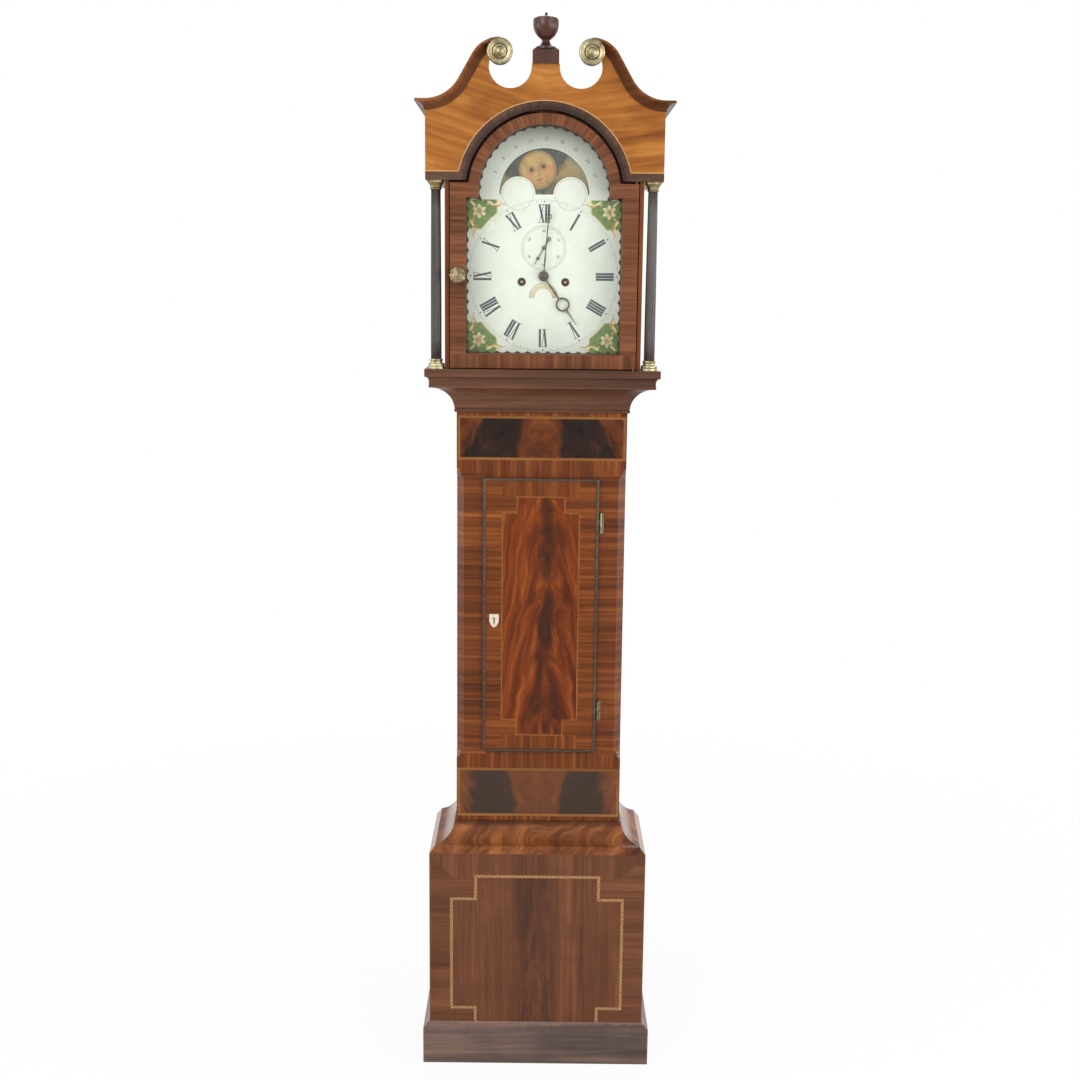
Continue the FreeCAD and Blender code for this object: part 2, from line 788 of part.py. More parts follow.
# hood box
hood_foot = S.cornice_top
reach = S.hood_base_overhang
hood_base_profile = [
    (0, hood_foot), (reach - 9, hood_foot), (reach - 9, hood_foot + 8), Arc(11, False),
    (reach - 4, hood_foot + 17), (reach, hood_foot + 18), (reach, S.hood_base_top), (0, S.hood_base_top),
]
hood_face = S.trunk_front + 2
front_rail, side_rail, other_rail = moulding("hood_rail", S.hood_inner_half_width, hood_face, reach,
                                             hood_base_profile)
pin_hole = S.pivot_radius + S.pivot_clearance
socket = post("foot_socket", pivot_x, S.pivot_depth, S.hood_base_top - 9, S.hood_base_top + 1, pin_hole)
piece("hood_base_rails", cut("front_rail_bored", front_rail, socket), side_rail, other_rail)
hood_wall = box("hood_wall", wall_inner, S.hood_wall_half_width, 0, S.hood_wall_front, S.hood_base_top,
                S.ear_foot)
piece("hood_sides", hood_wall, mirror("hood_wall_other", hood_wall))
mask_front = S.mask_back + S.mask_thickness
sight_foot = S.dial_centre - S.sight_foot_drop
sight_head = S.dial_centre + S.sight_head_rise
sight = arch(S.sight_half_width, sight_foot, sight_head, S.sight_arch_radius, arch_centre)
piece("hood_mask", panel("mask_board", S.mask_back, mask_front,
                         plain(wall_inner, S.hood_base_top, roof_foot), [sight]))
frieze_inner = S.frieze_half_width - S.frieze_side_thickness
crown_foot = crown_top - S.crown_height
soffit_top = S.ear_foot + S.soffit_thickness
soffit = box("soffit", wall_inner, frieze_inner, 0, S.frieze_back, S.ear_foot, soffit_top)
side_frieze = box("side_frieze", frieze_inner, S.frieze_half_width, 0, S.frieze_back, S.ear_foot,
                  crown_top - 2)
piece(
    "hood_top_boards", soffit, mirror("soffit_other", soffit), side_frieze, mirror("side_frieze_other", side_frieze),
    box("roof", -frieze_inner, frieze_inner, 0, S.frieze_back, roof_foot, roof_foot + S.roof_thickness),
)

# pediment
arch_outer = S.arch_inner_radius + S.arch_band_width
ear_head = S.ear_foot + S.ear_band_height
ear_in = leg(S.arch_inner_radius, S.ear_foot - arch_centre)
ear_out = leg(arch_outer, ear_head - arch_centre)
band_outline = [
    (S.frieze_half_width, S.ear_foot), (S.frieze_half_width, ear_head), (ear_out, ear_head),
    Arc(arch_outer, True), (0, arch_centre + arch_outer), Arc(arch_outer, True), (-ear_out, ear_head),
    (-S.frieze_half_width, ear_head), (-S.frieze_half_width, S.ear_foot), (-ear_in, S.ear_foot),
    Arc(S.arch_inner_radius, False), (0, arch_centre + S.arch_inner_radius), Arc(S.arch_inner_radius, False),
    (ear_in, S.ear_foot),
]
arch_band = panel("arch_band", S.frieze_back, frieze_front + S.arch_band_projection, band_outline)
head_socket = post("head_socket", pivot_x, S.pivot_depth, S.ear_foot - 1, S.ear_foot + 9, pin_hole)
piece("arch_moulding", cut("arch_band_bored", arch_band, head_socket))


class SwanNeck:
    """The S-curve of one side of the pediment, drawn a drop below its upper edge."""

    def __init__(self, drop):
        run = S.frieze_half_width - S.swan_crest_x
        rise = crest - crown_top
        radii = (run * SWAN_SINE - rise * SWAN_COSINE) / (1 - SWAN_COSINE)
        self.start_x = S.frieze_half_width
        self.start_z = crown_top - drop
        self.lower = S.swan_lower_radius + drop
        self.upper = radii - S.swan_lower_radius - drop
        self.bend_x = self.start_x - self.lower * SWAN_SINE
        self.bend_z = self.start_z + self.lower * (1 - SWAN_COSINE)
        self.crest_z = crest - drop
        self.turn_x = S.swan_crest_x + self.upper * SWAN_SINE
        self.turn_z = self.crest_z - self.upper * (1 - SWAN_COSINE)

    def rising(self):
        """Corners from the frieze corner up to the crest."""
        return [(self.start_x, self.start_z), Arc(self.lower, False), (self.bend_x, self.bend_z),
                (self.turn_x, self.turn_z), Arc(self.upper, True), (S.swan_crest_x, self.crest_z)]


edge = SwanNeck(size(2))
tongue_x = S.swan_crest_x + 10
tongue_rise = leg(edge.upper, size(10))
tongue_z = edge.crest_z - edge.upper + tongue_rise
void_right = S.void_x + S.void_radius
void_left = S.void_x - S.void_radius
tongue_foot = void_height + leg(S.void_radius, tongue_x - S.void_x)
neck_x = S.void_x - leg(S.void_radius, block_foot - void_height)
right_half = [
    (ear_out, ear_head), (S.frieze_half_width, ear_head), (edge.start_x, edge.start_z),
    Arc(edge.lower, False), (edge.bend_x, edge.bend_z), (edge.turn_x, edge.turn_z),
    Arc(edge.upper, True), (tongue_x, tongue_z), (tongue_x, tongue_foot),
    Arc(S.void_radius, False), (void_right, void_height), Arc(S.void_radius, False),
    (S.void_x, void_height - S.void_radius), Arc(S.void_radius, False), (void_left, void_height),
    Arc(S.void_radius, False), (neck_x, block_foot),
]
left_half = []
for item in reversed(right_half):
    left_half.append(item if isinstance(item, Arc) else (-item[0], item[1]))
frieze_outline = right_half + left_half
frieze_outline += [Arc(arch_outer, False), (0, arch_centre + arch_outer), Arc(arch_outer, False)]
piece("hood_frieze_board", panel("frieze_board", S.frieze_back, frieze_front, frieze_outline))


def crown_profile(foot):
    """The section of the crown moulding, in projection and height: fillet, cove and fillet."""
    return [
        (0, foot), (2.5, foot), (2.5, foot + 3), Arc(15, False),
        (S.crown_projection - 3.5, foot + S.crown_height - 5), (S.crown_projection, foot + S.crown_height - 5),
        (S.crown_projection, foot + S.crown_height), (0, foot + S.crown_height),
    ]


def swan_moulding():
    """The right-hand swan neck with its scroll boss, mitred at the corner."""
    body = document.addObject("PartDesign::Body", "swan_sweep")
    lower = SwanNeck(S.crown_height)
    tip = S.frieze_half_width + S.crown_projection
    section = sketch_on(body, "YZ", tip)
    face = half_depth - frieze_front
    flipped = []
    for item in crown_profile(lower.start_z):
        flipped.append(Arc(item.radius, True) if isinstance(item, Arc) else (face - item[0], item[1]))
    draw(section, flipped)
    path = sketch_on(body, "XZ", frieze_front - half_depth)
    draw(path, [(tip, lower.start_z)] + lower.rising(), closed=False)
    sweep = body.newObject("PartDesign::AdditivePipe", "swan_pipe")
    sweep.Profile = section
    sweep.Spine = (path, ["Edge1", "Edge2", "Edge3", "Edge4"])
    sweep.Mode = "Standard"
    boss = rod("scroll_boss", S.swan_crest_x, scroll_height, frieze_front, crown_front, S.scroll_radius)
    whole = fuse("swan_and_boss", body, boss)
    spare = 5
    waste = [(S.frieze_half_width, face), (tip + spare, face - S.crown_projection - spare), (tip + spare, face)]
    return cut("swan_right", whole, prism("swan_mitre", "XY", crown_foot - 1, crown_top + 1, waste))


def crown_return():
    """The right-hand crown moulding along the side of the hood."""
    profile = []
    for item in crown_profile(crown_foot):
        profile.append(item if isinstance(item, Arc) else (S.frieze_half_width + item[0], item[1]))
    bar = prism("return_bar", "XZ", -half_depth, crown_front - half_depth, profile)
    face = half_depth - frieze_front
    tip = S.frieze_half_width + S.crown_projection
    spare = 5
    waste = [(S.frieze_half_width - spare, face), (S.frieze_half_width, face),
             (tip + spare, face - S.crown_projection - spare),
             (S.frieze_half_width - spare, face - S.crown_projection - spare)]
    return cut("return_right", bar, prism("return_mitre", "XY", crown_foot - 1, crown_top + 1, waste))


swan = swan_moulding()
side_crown = crown_return()
piece("crown_mouldings", swan, mirror("swan_left", swan), side_crown, mirror("return_left", side_crown))
block_middle = frieze_front - S.frieze_thickness / 2
block_head = block_foot + S.block_height
block = box("finial_block", -S.block_half_width, S.block_half_width, block_middle - 15, block_middle + 15,
            block_foot, block_head - 3)
cap = box("finial_cap", -S.block_half_width + 2.5, S.block_half_width - 2.5, block_middle - 12.5,
          block_middle + 12.5, block_head - 3, block_head)
urn_outline = [
    (0, 0), (21.5, 0), (21.5, 3), (20.5, 4), Arc(16, False), (8, 17), (9, 18.5),
    Arc(34, True), (S.urn_radius, 50), (S.urn_radius, 57), (S.urn_radius - 2, 59.5), (S.urn_radius - 3.5, 60),
    Arc(40, True), (4, 64), (2.8, 65.5), (3.4, 68), (0.8, S.urn_height), (0, S.urn_height),
]
piece("finial", fuse("finial_plinth", block, cap), upright("urn", 0, block_middle, block_head, urn_outline))

# columns and brass mounts of the hood
column_foot = S.hood_base_top + S.column_base_height
column_head = S.ear_foot - S.column_capital_height
column_length = column_head - column_foot
shaft_outline = [
    (0, 0), (S.column_radius, 0), (S.column_radius, column_length / 3),
    (S.column_radius - 1.5, column_length), (0, column_length),
]
shaft = upright("column_shaft", column_x, S.column_depth, column_foot, shaft_outline)
piece("column_shafts", shaft, mirror("column_shaft_other", shaft))
base_outline = [
    (0, 0), (18, 0), (18, 4), (16.5, 4.5), Arc(4.2, True), (15, 11), (12.8, 12), Arc(4, False), (13.5, 16),
    (14.5, 17), (13, S.column_base_height), (0, S.column_base_height),
]
column_base = upright("column_base", column_x, S.column_depth, S.hood_base_top, base_outline)
capital_outline = [
    (0, 0), (11.5, 0), (12.5, 2), (11, 4), Arc(17, False), (16, 13), (17, 14), (17, S.column_capital_height),
    (0, S.column_capital_height),
]
capital = upright("column_capital", column_x, S.column_depth, column_head, capital_outline)
rosette_outline = [
    (0, 0), (0, S.rosette_radius), (2.5, S.rosette_radius), (3.5, S.rosette_radius - 5), (2.5, 17),
    (4, 10), (S.rosette_thickness, 6), (S.rosette_thickness, 0),
]
rosette = forward("rosette", S.swan_crest_x, crown_front, scroll_height, rosette_outline)
piece(
    "hood_brass_mounts", column_base, mirror("column_base_other", column_base), capital,
    mirror("column_capital_other", capital), rosette, mirror("rosette_other", rosette),
)

# hood door
door_inner = S.sight_half_width + 0.5
head_foot = sight_head
shoulder_x = leg(S.hood_door_arch_radius, hood_door_head - arch_centre)
head_inner = S.sight_arch_radius + 0.5
door_stile = box("door_stile", door_inner, S.hood_door_half_width, S.hood_door_back, S.hood_door_front,
                 hood_door_foot, hood_door_head)
head_outline = [
    (head_inner, head_foot), (door_inner, head_foot), (door_inner, hood_door_head),
    (shoulder_x, hood_door_head), Arc(S.hood_door_arch_radius, True),
    (0, arch_centre + S.hood_door_arch_radius), Arc(S.hood_door_arch_radius, True),
    (-shoulder_x, hood_door_head), (-door_inner, hood_door_head), (-door_inner, head_foot),
    (-head_inner, head_foot), (-head_inner, arch_centre), Arc(head_inner, False),
    (0, arch_centre + head_inner), Arc(head_inner, False), (head_inner, arch_centre),
]
piece(
    "hood_door_frame", door_stile, mirror("door_stile_other", door_stile),
    box("door_foot_rail", -door_inner, door_inner, S.hood_door_back, S.hood_door_front, hood_door_foot,
        sight_foot - 0.5),
    panel("door_arched_head", S.hood_door_back, S.hood_door_front, head_outline),
)
glass_half = door_inner + S.glass_margin
glass_arch = head_inner + S.glass_margin
piece("hood_door_glass", panel("glass_sheet", S.hood_door_back - S.glass_thickness, S.hood_door_back,
                               arch(glass_half, sight_foot - S.glass_margin, sight_head + S.glass_margin,
                                    glass_arch, arch_centre)))
knob_outline = [
    (0, 0), (0, 10), (2, 10), (3, 6), (12, 5), Arc(14, False), (16, 12), (19, S.knob_radius),
    (21, S.knob_radius), Arc(24, True), (S.knob_length, 0),
]
knob = forward("knob", -knob_x, S.hood_door_front, S.dial_centre, knob_outline)
foot_pin = post("foot_pin", pivot_x, S.pivot_depth, S.hood_base_top - 8, hood_door_foot, S.pivot_radius)
head_pin = post("head_pin", pivot_x, S.pivot_depth, hood_door_head, S.ear_foot + 8, S.pivot_radius)
piece("hood_door_brasses", knob, foot_pin, head_pin)

# arbors of the two trains, then the plates that carry them
going = Arbor("going_great", S.winding_x, -S.winding_drop, S.winding_arbor_radius)
strike = Arbor("strike_great", -S.winding_x, -S.winding_drop, S.winding_arbor_radius)
centre = Arbor("centre", 0, 0)
third = Arbor("third", 13.0, 33.0)
escape = Arbor("escape", 0, S.seconds_rise)
pallet = Arbor("pallet", 0, S.pallet_rise)
pin = Arbor("pin", -30.0, 28.0)
gathering = offset_arbor("gathering", pin, 25.2, 70)
warning = offset_arbor("warning", gathering, 19.6, 110)
fly = offset_arbor("fly", warning, 16.0, 150)
hammer = Arbor("hammer", -64.0, 50.0)
minute = Arbor("minute", 14.4, -24.9)
plain_arbors = [centre, third, escape, pin, gathering, warning, fly, hammer]
pivot_back = S.back_plate_depth + 0.5
pivot_front = front_plate_depth + S.plate_thickness - 0.5
mesh(going, centre, (GREAT, CENTRE_PINION), (layer_zero + 8, layer_zero + 5), (3, 9))
mesh(centre, third, (CENTRE, THIRD_PINION), (layer_zero + 48, layer_zero + 45), (2, 8))
mesh(third, escape, (THIRD, ESCAPE_PINION), (layer_zero + 34, layer_zero + 31), (2, 8))
mesh(strike, pin, (STRIKE_GREAT, PIN_PINION), (layer_zero + 8, layer_zero + 5), (3, 9))
mesh(pin, gathering, (PIN, GATHERING_PINION), (layer_zero + 53, layer_zero + 50), (2, 8))
mesh(gathering, warning, (GATHERING, WARNING_PINION), (layer_zero + 24, layer_zero + 21), (2, 8))
mesh(warning, fly, (WARNING, FLY_PINION), (layer_zero + 15, layer_zero + 12), (2, 8))

seat_head = S.dial_centre - S.seatboard_drop
plate_head = seat_head + S.plate_height
holes = []
for arbor in plain_arbors:
    holes.append(rod(arbor.name + "_hole", arbor.x, S.dial_centre + arbor.rise, S.back_plate_depth - 1,
                     front_plate_depth + S.plate_thickness + 1, arbor.radius + S.pivot_clearance))
for arbor in (going, strike):
    holes.append(rod(arbor.name + "_hole", arbor.x, S.dial_centre + arbor.rise, S.back_plate_depth - 1,
                     front_plate_depth + S.plate_thickness + 1, arbor.radius + S.pivot_clearance))
holes.append(rod("pallet_front_hole", 0, S.dial_centre + pallet.rise, front_plate_depth - 1,
                 front_plate_depth + S.plate_thickness + 1, S.arbor_radius + S.pivot_clearance))
holes.append(rod("pallet_back_hole", 0, S.dial_centre + pallet.rise, S.back_plate_depth - 1, layer_zero + 1, 7))
hole_set = fuse("pivot_holes", *holes)
front_face = front_plate_depth + S.plate_thickness
minute_stud = rod("minute_stud", minute.x, S.dial_centre + minute.rise, front_face, front_face + 11,
                  S.minute_stud_radius)
front_plate = box("front_plate", -S.plate_half_width, S.plate_half_width, front_plate_depth,
                  front_plate_depth + S.plate_thickness, seat_head, plate_head)
back_plate = box("back_plate", -S.plate_half_width, S.plate_half_width, S.back_plate_depth, layer_zero, seat_head,
                 plate_head)
pillars = []
pillar_foot = seat_head + S.pillar_radius * 2
pillar_head = plate_head - S.pillar_radius * 2
pillar_places = ((-S.winding_x, pillar_foot), (S.winding_x, pillar_foot), (-S.pillar_x, pillar_head),
                 (S.pillar_x, pillar_head))
for number, (x, z) in enumerate(pillar_places):
    pillars.append(rod(f"pillar_{number}", x, z, layer_zero, front_plate_depth, S.pillar_radius))
piece("movement_frame", cut("front_plate_bored", front_plate, hole_set), cut("back_plate_bored", back_plate, hole_set),
      minute_stud, *pillars)

# seatboard with the ways for the lines
strand = S.barrel_radius + S.line_radius + 0.1
pulley_reach = S.pulley_radius + S.line_radius + 0.1
going_x = S.winding_x - strand + pulley_reach
strike_x = -S.winding_x - strand + pulley_reach
ways = []
for label, x in (("going", going_x), ("strike", strike_x)):
    ways.append(box(label + "_slot", x - pulley_reach - 5, x - pulley_reach + 5, S.weight_depth - 18,
                    S.weight_depth + 18, seat_foot - 1, seat_head + 1))
    ways.append(post(label + "_eye", x + pulley_reach, S.weight_depth, seat_foot - 1, seat_head + 1,
                     S.line_radius + 0.3))
seat_blank = box("seat_blank", -S.trunk_half_width, S.trunk_half_width, S.seatboard_back, S.seatboard_front, seat_foot,
                 seat_head)
piece("seatboard", cut("seat_cut", seat_blank, *ways))

# going train
going.shaft(pivot_back, layer_zero + 12.5)
piece("going_great_wheel", *going.parts)


def barrel(name, arbor):
    """A flanged drum on its winding arbor, squared at the front."""
    height = S.dial_centre + arbor.rise
    outline = [
        (0, 0), (0, S.barrel_radius + 4), (2, S.barrel_radius + 4), (2, S.barrel_radius), (30, S.barrel_radius),
        (30, S.barrel_radius + 4), (32, S.barrel_radius + 4), (32, S.winding_arbor_radius),
        (front_face - layer_zero - 8, S.winding_arbor_radius), (front_face - layer_zero - 8, 0),
    ]
    drum = forward(name + "_drum", arbor.x, layer_zero + 13, height, outline)
    square = box(name + "_square", arbor.x - 2.7, arbor.x + 2.7, front_face + 4.9, dial_front - 0.5, height - 2.7,
                 height + 2.7)
    return fuse(name + "_solid", drum, square)


piece("going_barrel", barrel("going_barrel", going))
centre.shaft(pivot_back, S.minute_hand_depth + 4)
piece("centre_wheel", *centre.parts)
third.shaft(pivot_back, pivot_front)
piece("third_wheel", *third.parts)


def escape_outline(count, tip, foot):
    """Thirty raked, pointed teeth."""
    points = []
    for tooth in range(count):
        start = 2 * math.pi * tooth / count + math.pi / 2 + math.pi / count
        points.append(polar(foot, start))
        points.append(polar(tip, start + 0.02))
        points.append(polar(tip, start + 0.045))
        points.append(polar(foot, start + 1.5 * math.pi / count))
    return Part.makePolygon(points + points[:1])


escape_tip = 19.0
escape_openings = [circle_wire(S.arbor_radius.value)] + window_wires(12.5, 4.6, 4, 1.1)
escape.carry("toothed_plate", plate_shape(escape_outline(ESCAPE, escape_tip, 15.2), escape_openings, 2), layer_zero + 42)
escape.shaft(pivot_back, S.seconds_hand_depth + 2)
piece("escape_wheel", *escape.parts)
piece_height = S.dial_centre + pallet.rise
anchor_points = [
    (-4, 5), (4, 5), (9, 0), (15.5, -9.5), (16.5, -15), (14.6, -14.2), (11.8, -10.5), (5, -4.5), (-5, -4.5),
    (-11.8, -10.5), (-14.6, -14.2), (-16.5, -15), (-15.5, -9.5), (-9, 0),
]
anchor_wire = Part.makePolygon([FreeCAD.Vector(x, 0, z) for x, z in anchor_points + anchor_points[:1]])
pallet.carry("anchor", plate_shape(anchor_wire, [circle_wire(S.arbor_radius.value)], 6), layer_zero + 40)
cock_back = S.back_plate_depth - 16
crutch_foot = piece_height - S.crutch_length
pallet_rod = rod("pallet_arbor", 0, piece_height, cock_back + 0.5, pivot_front, S.arbor_radius)
crutch = box("crutch_rod", -1.5, 1.5, S.back_plate_depth - 8, S.back_plate_depth - 5.5, crutch_foot,
             piece_height - 1)
fork_outer = S.rod_radius + 3.3
fork_inner = S.rod_radius + 0.3
bridge = box("crutch_bridge", -fork_outer, fork_outer, S.back_plate_depth - 10, S.back_plate_depth - 5.5,
             crutch_foot - 6, crutch_foot)
prong = box("crutch_prong", fork_inner, fork_outer, S.pendulum_depth - 5, S.back_plate_depth - 10, crutch_foot - 6,
            crutch_foot)
piece("anchor", *pallet.parts, fuse("crutch", pallet_rod, crutch, bridge, prong, mirror("prong_other", prong)))

# back cock and pendulum
slit_half = 0.9
arm_foot = piece_height + 2
arm_head = piece_height + 10
cock_plate = box("cock_plate", -30, 30, cock_back, cock_back + 4, piece_height - 8, piece_height + 12)
cock_foot = box("cock_foot", 20, 30, cock_back + 4, S.back_plate_depth, piece_height - 8, piece_height + 12)
cock_arm = box("cock_arm", -7, 7, S.pendulum_depth - 8, cock_back, arm_foot, arm_head)
slit = box("cock_slit", -slit_half, slit_half, S.pendulum_depth - 9, S.pendulum_depth + 5, arm_foot - 1, arm_head + 1)
cock_hole = rod("cock_hole", 0, piece_height, cock_back - 1, cock_back + 5, S.arbor_radius + S.pivot_clearance)
cock_blank = fuse("cock_blank", cock_plate, cock_foot, mirror("cock_foot_other", cock_foot), cock_arm)
piece("back_cock", cut("cock", cock_blank, slit, cock_hole))
bob_height = piece_height - S.pendulum_length
spring = box("suspension_spring", -0.15, 0.15, S.pendulum_depth - 4, S.pendulum_depth + 4, piece_height - 30,
             arm_head + 2)
chop = box("suspension_chop", -4, 4, S.pendulum_depth - 5, S.pendulum_depth + 5, arm_head + 0.4, arm_head + 5)
socket_block = box("rod_head", -4, 4, S.pendulum_depth - 5, S.pendulum_depth + 5, piece_height - 42,
                   piece_height - 28)
rod_bar = post("pendulum_bar", 0, S.pendulum_depth, bob_height - S.bob_radius - 22, piece_height - 40, S.rod_radius)
piece("pendulum_rod", fuse("pendulum_stem", spring, chop, socket_block, rod_bar))
lens_radius = (S.bob_radius * S.bob_radius + S.bob_half_thickness * S.bob_half_thickness) / (S.bob_half_thickness * 2)
bob_outline = [
    (-S.bob_half_thickness, 0), Arc(lens_radius, False), (0, S.bob_radius), Arc(lens_radius, False),
    (S.bob_half_thickness, 0),
]
lens = forward("bob_lens", 0, S.pendulum_depth, bob_height, bob_outline)
rod_bore = post("bob_bore", 0, S.pendulum_depth, bob_height - S.bob_radius - 40, bob_height + S.bob_radius + 10,
                S.rod_radius + 0.05)
nut = post("rating_nut", 0, S.pendulum_depth, bob_height - S.bob_radius - 9, bob_height - S.bob_radius - 0.1, 9)
piece("pendulum_bob", cut("bob_bored", lens, rod_bore), cut("nut_bored", nut, rod_bore))

# dial with its apertures, and the discs behind it
hump = S.moon_hump_x
hump_radius = S.moon_hump_radius
moon_window = [
    (S.moon_aperture_radius, arch_centre), Arc(S.moon_aperture_radius, True),
    (0, arch_centre + S.moon_aperture_radius), Arc(S.moon_aperture_radius, True),
    (-S.moon_aperture_radius, arch_centre), (-hump - hump_radius, arch_centre), Arc(hump_radius, False),
    (-hump, arch_centre + hump_radius), Arc(hump_radius, False), (hump_radius - hump, arch_centre),
    (hump - hump_radius, arch_centre), Arc(hump_radius, False), (hump, arch_centre + hump_radius),
    Arc(hump_radius, False), (hump + hump_radius, arch_centre),
]
date_centre = S.dial_centre - S.date_drop
date_inner = 19.0
date_outer = 31.0
date_window = [
    (date_outer, date_centre + 2), Arc(date_outer, True), (0, date_centre + 2 + date_outer), Arc(date_outer, True),
    (-date_outer, date_centre + 2), (-date_inner, date_centre + 2), Arc(date_inner, False),
    (0, date_centre + 2 + date_inner), Arc(date_inner, False), (date_inner, date_centre + 2),
]
winding_height = S.dial_centre - S.winding_drop
dial_foot = S.dial_centre - S.dial_half_width
dial_square = S.dial_centre + S.dial_half_width - 3
dial_sheet = panel(
    "dial_plate", S.dial_back, dial_front,
    arch(S.dial_half_width, dial_foot, dial_square, S.dial_arch_radius, arch_centre),
    [moon_window, date_window, (0, S.dial_centre, 6.5), (0, S.dial_centre + S.seconds_rise, 2.4),
     (S.winding_x, winding_height, S.winding_hole_radius), (-S.winding_x, winding_height, S.winding_hole_radius)],
)
dial_parts = [dial_sheet]
for number, (x, rise) in enumerate(((-62, -70), (62, -70), (-62, 52), (62, 52))):
    dial_parts.append(rod(f"dial_foot_{number}", x, S.dial_centre + rise, front_face, S.dial_back, 3.5))
stud_radius = 3.0
for label, height in (("moon", arch_centre), ("date", date_centre)):
    dial_parts.append(rod(label + "_stud", 0, height, S.disc_back - 2.5, S.dial_back, stud_radius))
    dial_parts.append(rod(label + "_collar", 0, height, S.disc_back - 2.5, S.disc_back - 0.5, stud_radius + 3))
piece("dial_sheet", fuse("dial_one", *dial_parts))


def display_disc(name, height, radius, teeth, depth):
    """A toothed disc turning on a stud behind the dial."""
    module = 2 * radius.value / (teeth + 2)
    outline = toothed(teeth, module, 0.5, 1.0, 0)
    shape = plate_shape(outline, [circle_wire(stud_radius + 0.08)], S.disc_thickness.value)
    return shape_piece(name + "_plate", shape, 0, depth, height)


piece("moon_disc", display_disc("moon", arch_centre, S.moon_disc_radius, 118, S.disc_back))
piece("calendar_disc", display_disc("date", date_centre, S.date_disc_radius, 62, S.disc_back))

# motion work and hands
cannon_radius = 4.2
cannon_bore = S.arbor_radius + 0.05
hour_bore = cannon_radius + 0.1
hour_radius = 6.0
minute_line = centre.towards(minute)
spread = centre.distance(minute)
cannon_module = 2 * spread / (CANNON + MINUTE)
hour_module = 2 * spread / (MINUTE_PINION + HOUR)


def sleeve(name, back, front, outer, bore):
    """A plain tube on the dial axis."""
    tube = rod(name + "_tube", 0, S.dial_centre, back, front, outer)
    return cut(name, tube, rod(name + "_bore", 0, S.dial_centre, back - size(1), front + 1, bore))


cannon_wheel = wheel_shape(CANNON, cannon_module, cannon_radius, 2, minute_line, arms=0)
cannon_tube = sleeve("cannon_sleeve", front_face + 1, S.minute_hand_depth + 2.4, cannon_radius, cannon_bore)


def hand_shape(points, ring_list, thickness, bore):
    """A pierced hand pointing up, from half an outline and its rings."""
    both = [FreeCAD.Vector(x, 0, z) for x, z in points]
    both += [FreeCAD.Vector(-x, 0, z) for x, z in reversed(points)]
    shape = plate_shape(Part.makePolygon(both + both[:1]), [], thickness)
    for height, outer, inner in ring_list:
        hoop = plate_shape(circle_wire(outer), [], thickness)
        hoop.translate(FreeCAD.Vector(0, 0, height))
        shape = shape.fuse(hoop)
        if inner:
            eye = plate_shape(circle_wire(inner), [], thickness)
            eye.translate(FreeCAD.Vector(0, 0, height))
            shape = shape.cut(eye)
    return shape.cut(plate_shape(circle_wire(bore), [], thickness)).removeSplitter()


def hand(name, shape, height, depth, clockwise):
    """Set a hand at its clockwise angle from twelve."""
    turn = FreeCAD.Rotation(FreeCAD.Vector(0, 1, 0), clockwise)
    obj = shape_piece(name, shape, 0, depth, height)
    obj.Placement.Rotation = turn
    return obj


minute_points = [(2.0, 0), (1.3, 20), (2.1, 34), (1.2, 48), (1.2, 112), (2.0, 116), (1.2, 120), (1.2, 131), (2.0, 134),
                 (0.4, 151)]
minute_rings = [(0, 8.5, 0), (124, 6.4, 4.2)]
minute_shape = hand_shape(minute_points, minute_rings, 1.5, cannon_radius)
minute_blade = hand("minute_blade", minute_shape, S.dial_centre, S.minute_hand_depth, 4.5)
collet = rod("collet_disc", 0, S.dial_centre, S.minute_hand_depth + 2.6, S.minute_hand_depth + 4.4, 6)
collet = cut("collet", collet, rod("collet_bore", 0, S.dial_centre, S.minute_hand_depth, S.minute_hand_depth + 6,
                                   S.arbor_radius))
cannon_wheel = shape_piece("cannon_wheel", cannon_wheel, 0, front_face + 2, S.dial_centre)
piece("minute_hand", cannon_tube, cannon_wheel, minute_blade, collet)
minute_bore = S.minute_stud_radius.value + S.pivot_clearance.value
minute_wheel = wheel_shape(MINUTE, cannon_module, minute_bore, 2, minute_line + math.pi + math.pi / MINUTE, arms=0)
minute_wheel = shape_piece("minute_wheel_plate", minute_wheel, minute.x, front_face + 2, S.dial_centre + minute.rise)
minute_leaves = shape_piece(
    "minute_leaves", pinion_shape(MINUTE_PINION, hour_module, minute_bore, 5, minute_line + math.pi + math.pi / MINUTE_PINION),
    minute.x, front_face + 4, S.dial_centre + minute.rise)
piece("minute_wheel", minute_wheel, minute_leaves)
hour_sleeve = sleeve("hour_sleeve", front_face + 4.5, S.hour_hand_depth + 2, hour_radius, hour_bore)
hour_plate = wheel_shape(HOUR, hour_module, hour_radius, 2, minute_line)
hour_wheel = shape_piece("hour_wheel_plate", hour_plate, 0, front_face + 6, S.dial_centre)


def snail_shape(steps, inner, outer, thickness):
    """The twelve-stepped cam of the striking work."""
    points = []
    for step in range(steps):
        radius = inner + (outer - inner) * step / (steps - 1)
        for share in (0.02, 0.35, 0.65, 0.98):
            points.append(polar(radius, 2 * math.pi * (step + share) / steps))
    outline = Part.makePolygon(points + points[:1])
    return plate_shape(outline, [circle_wire(hour_radius)], thickness)


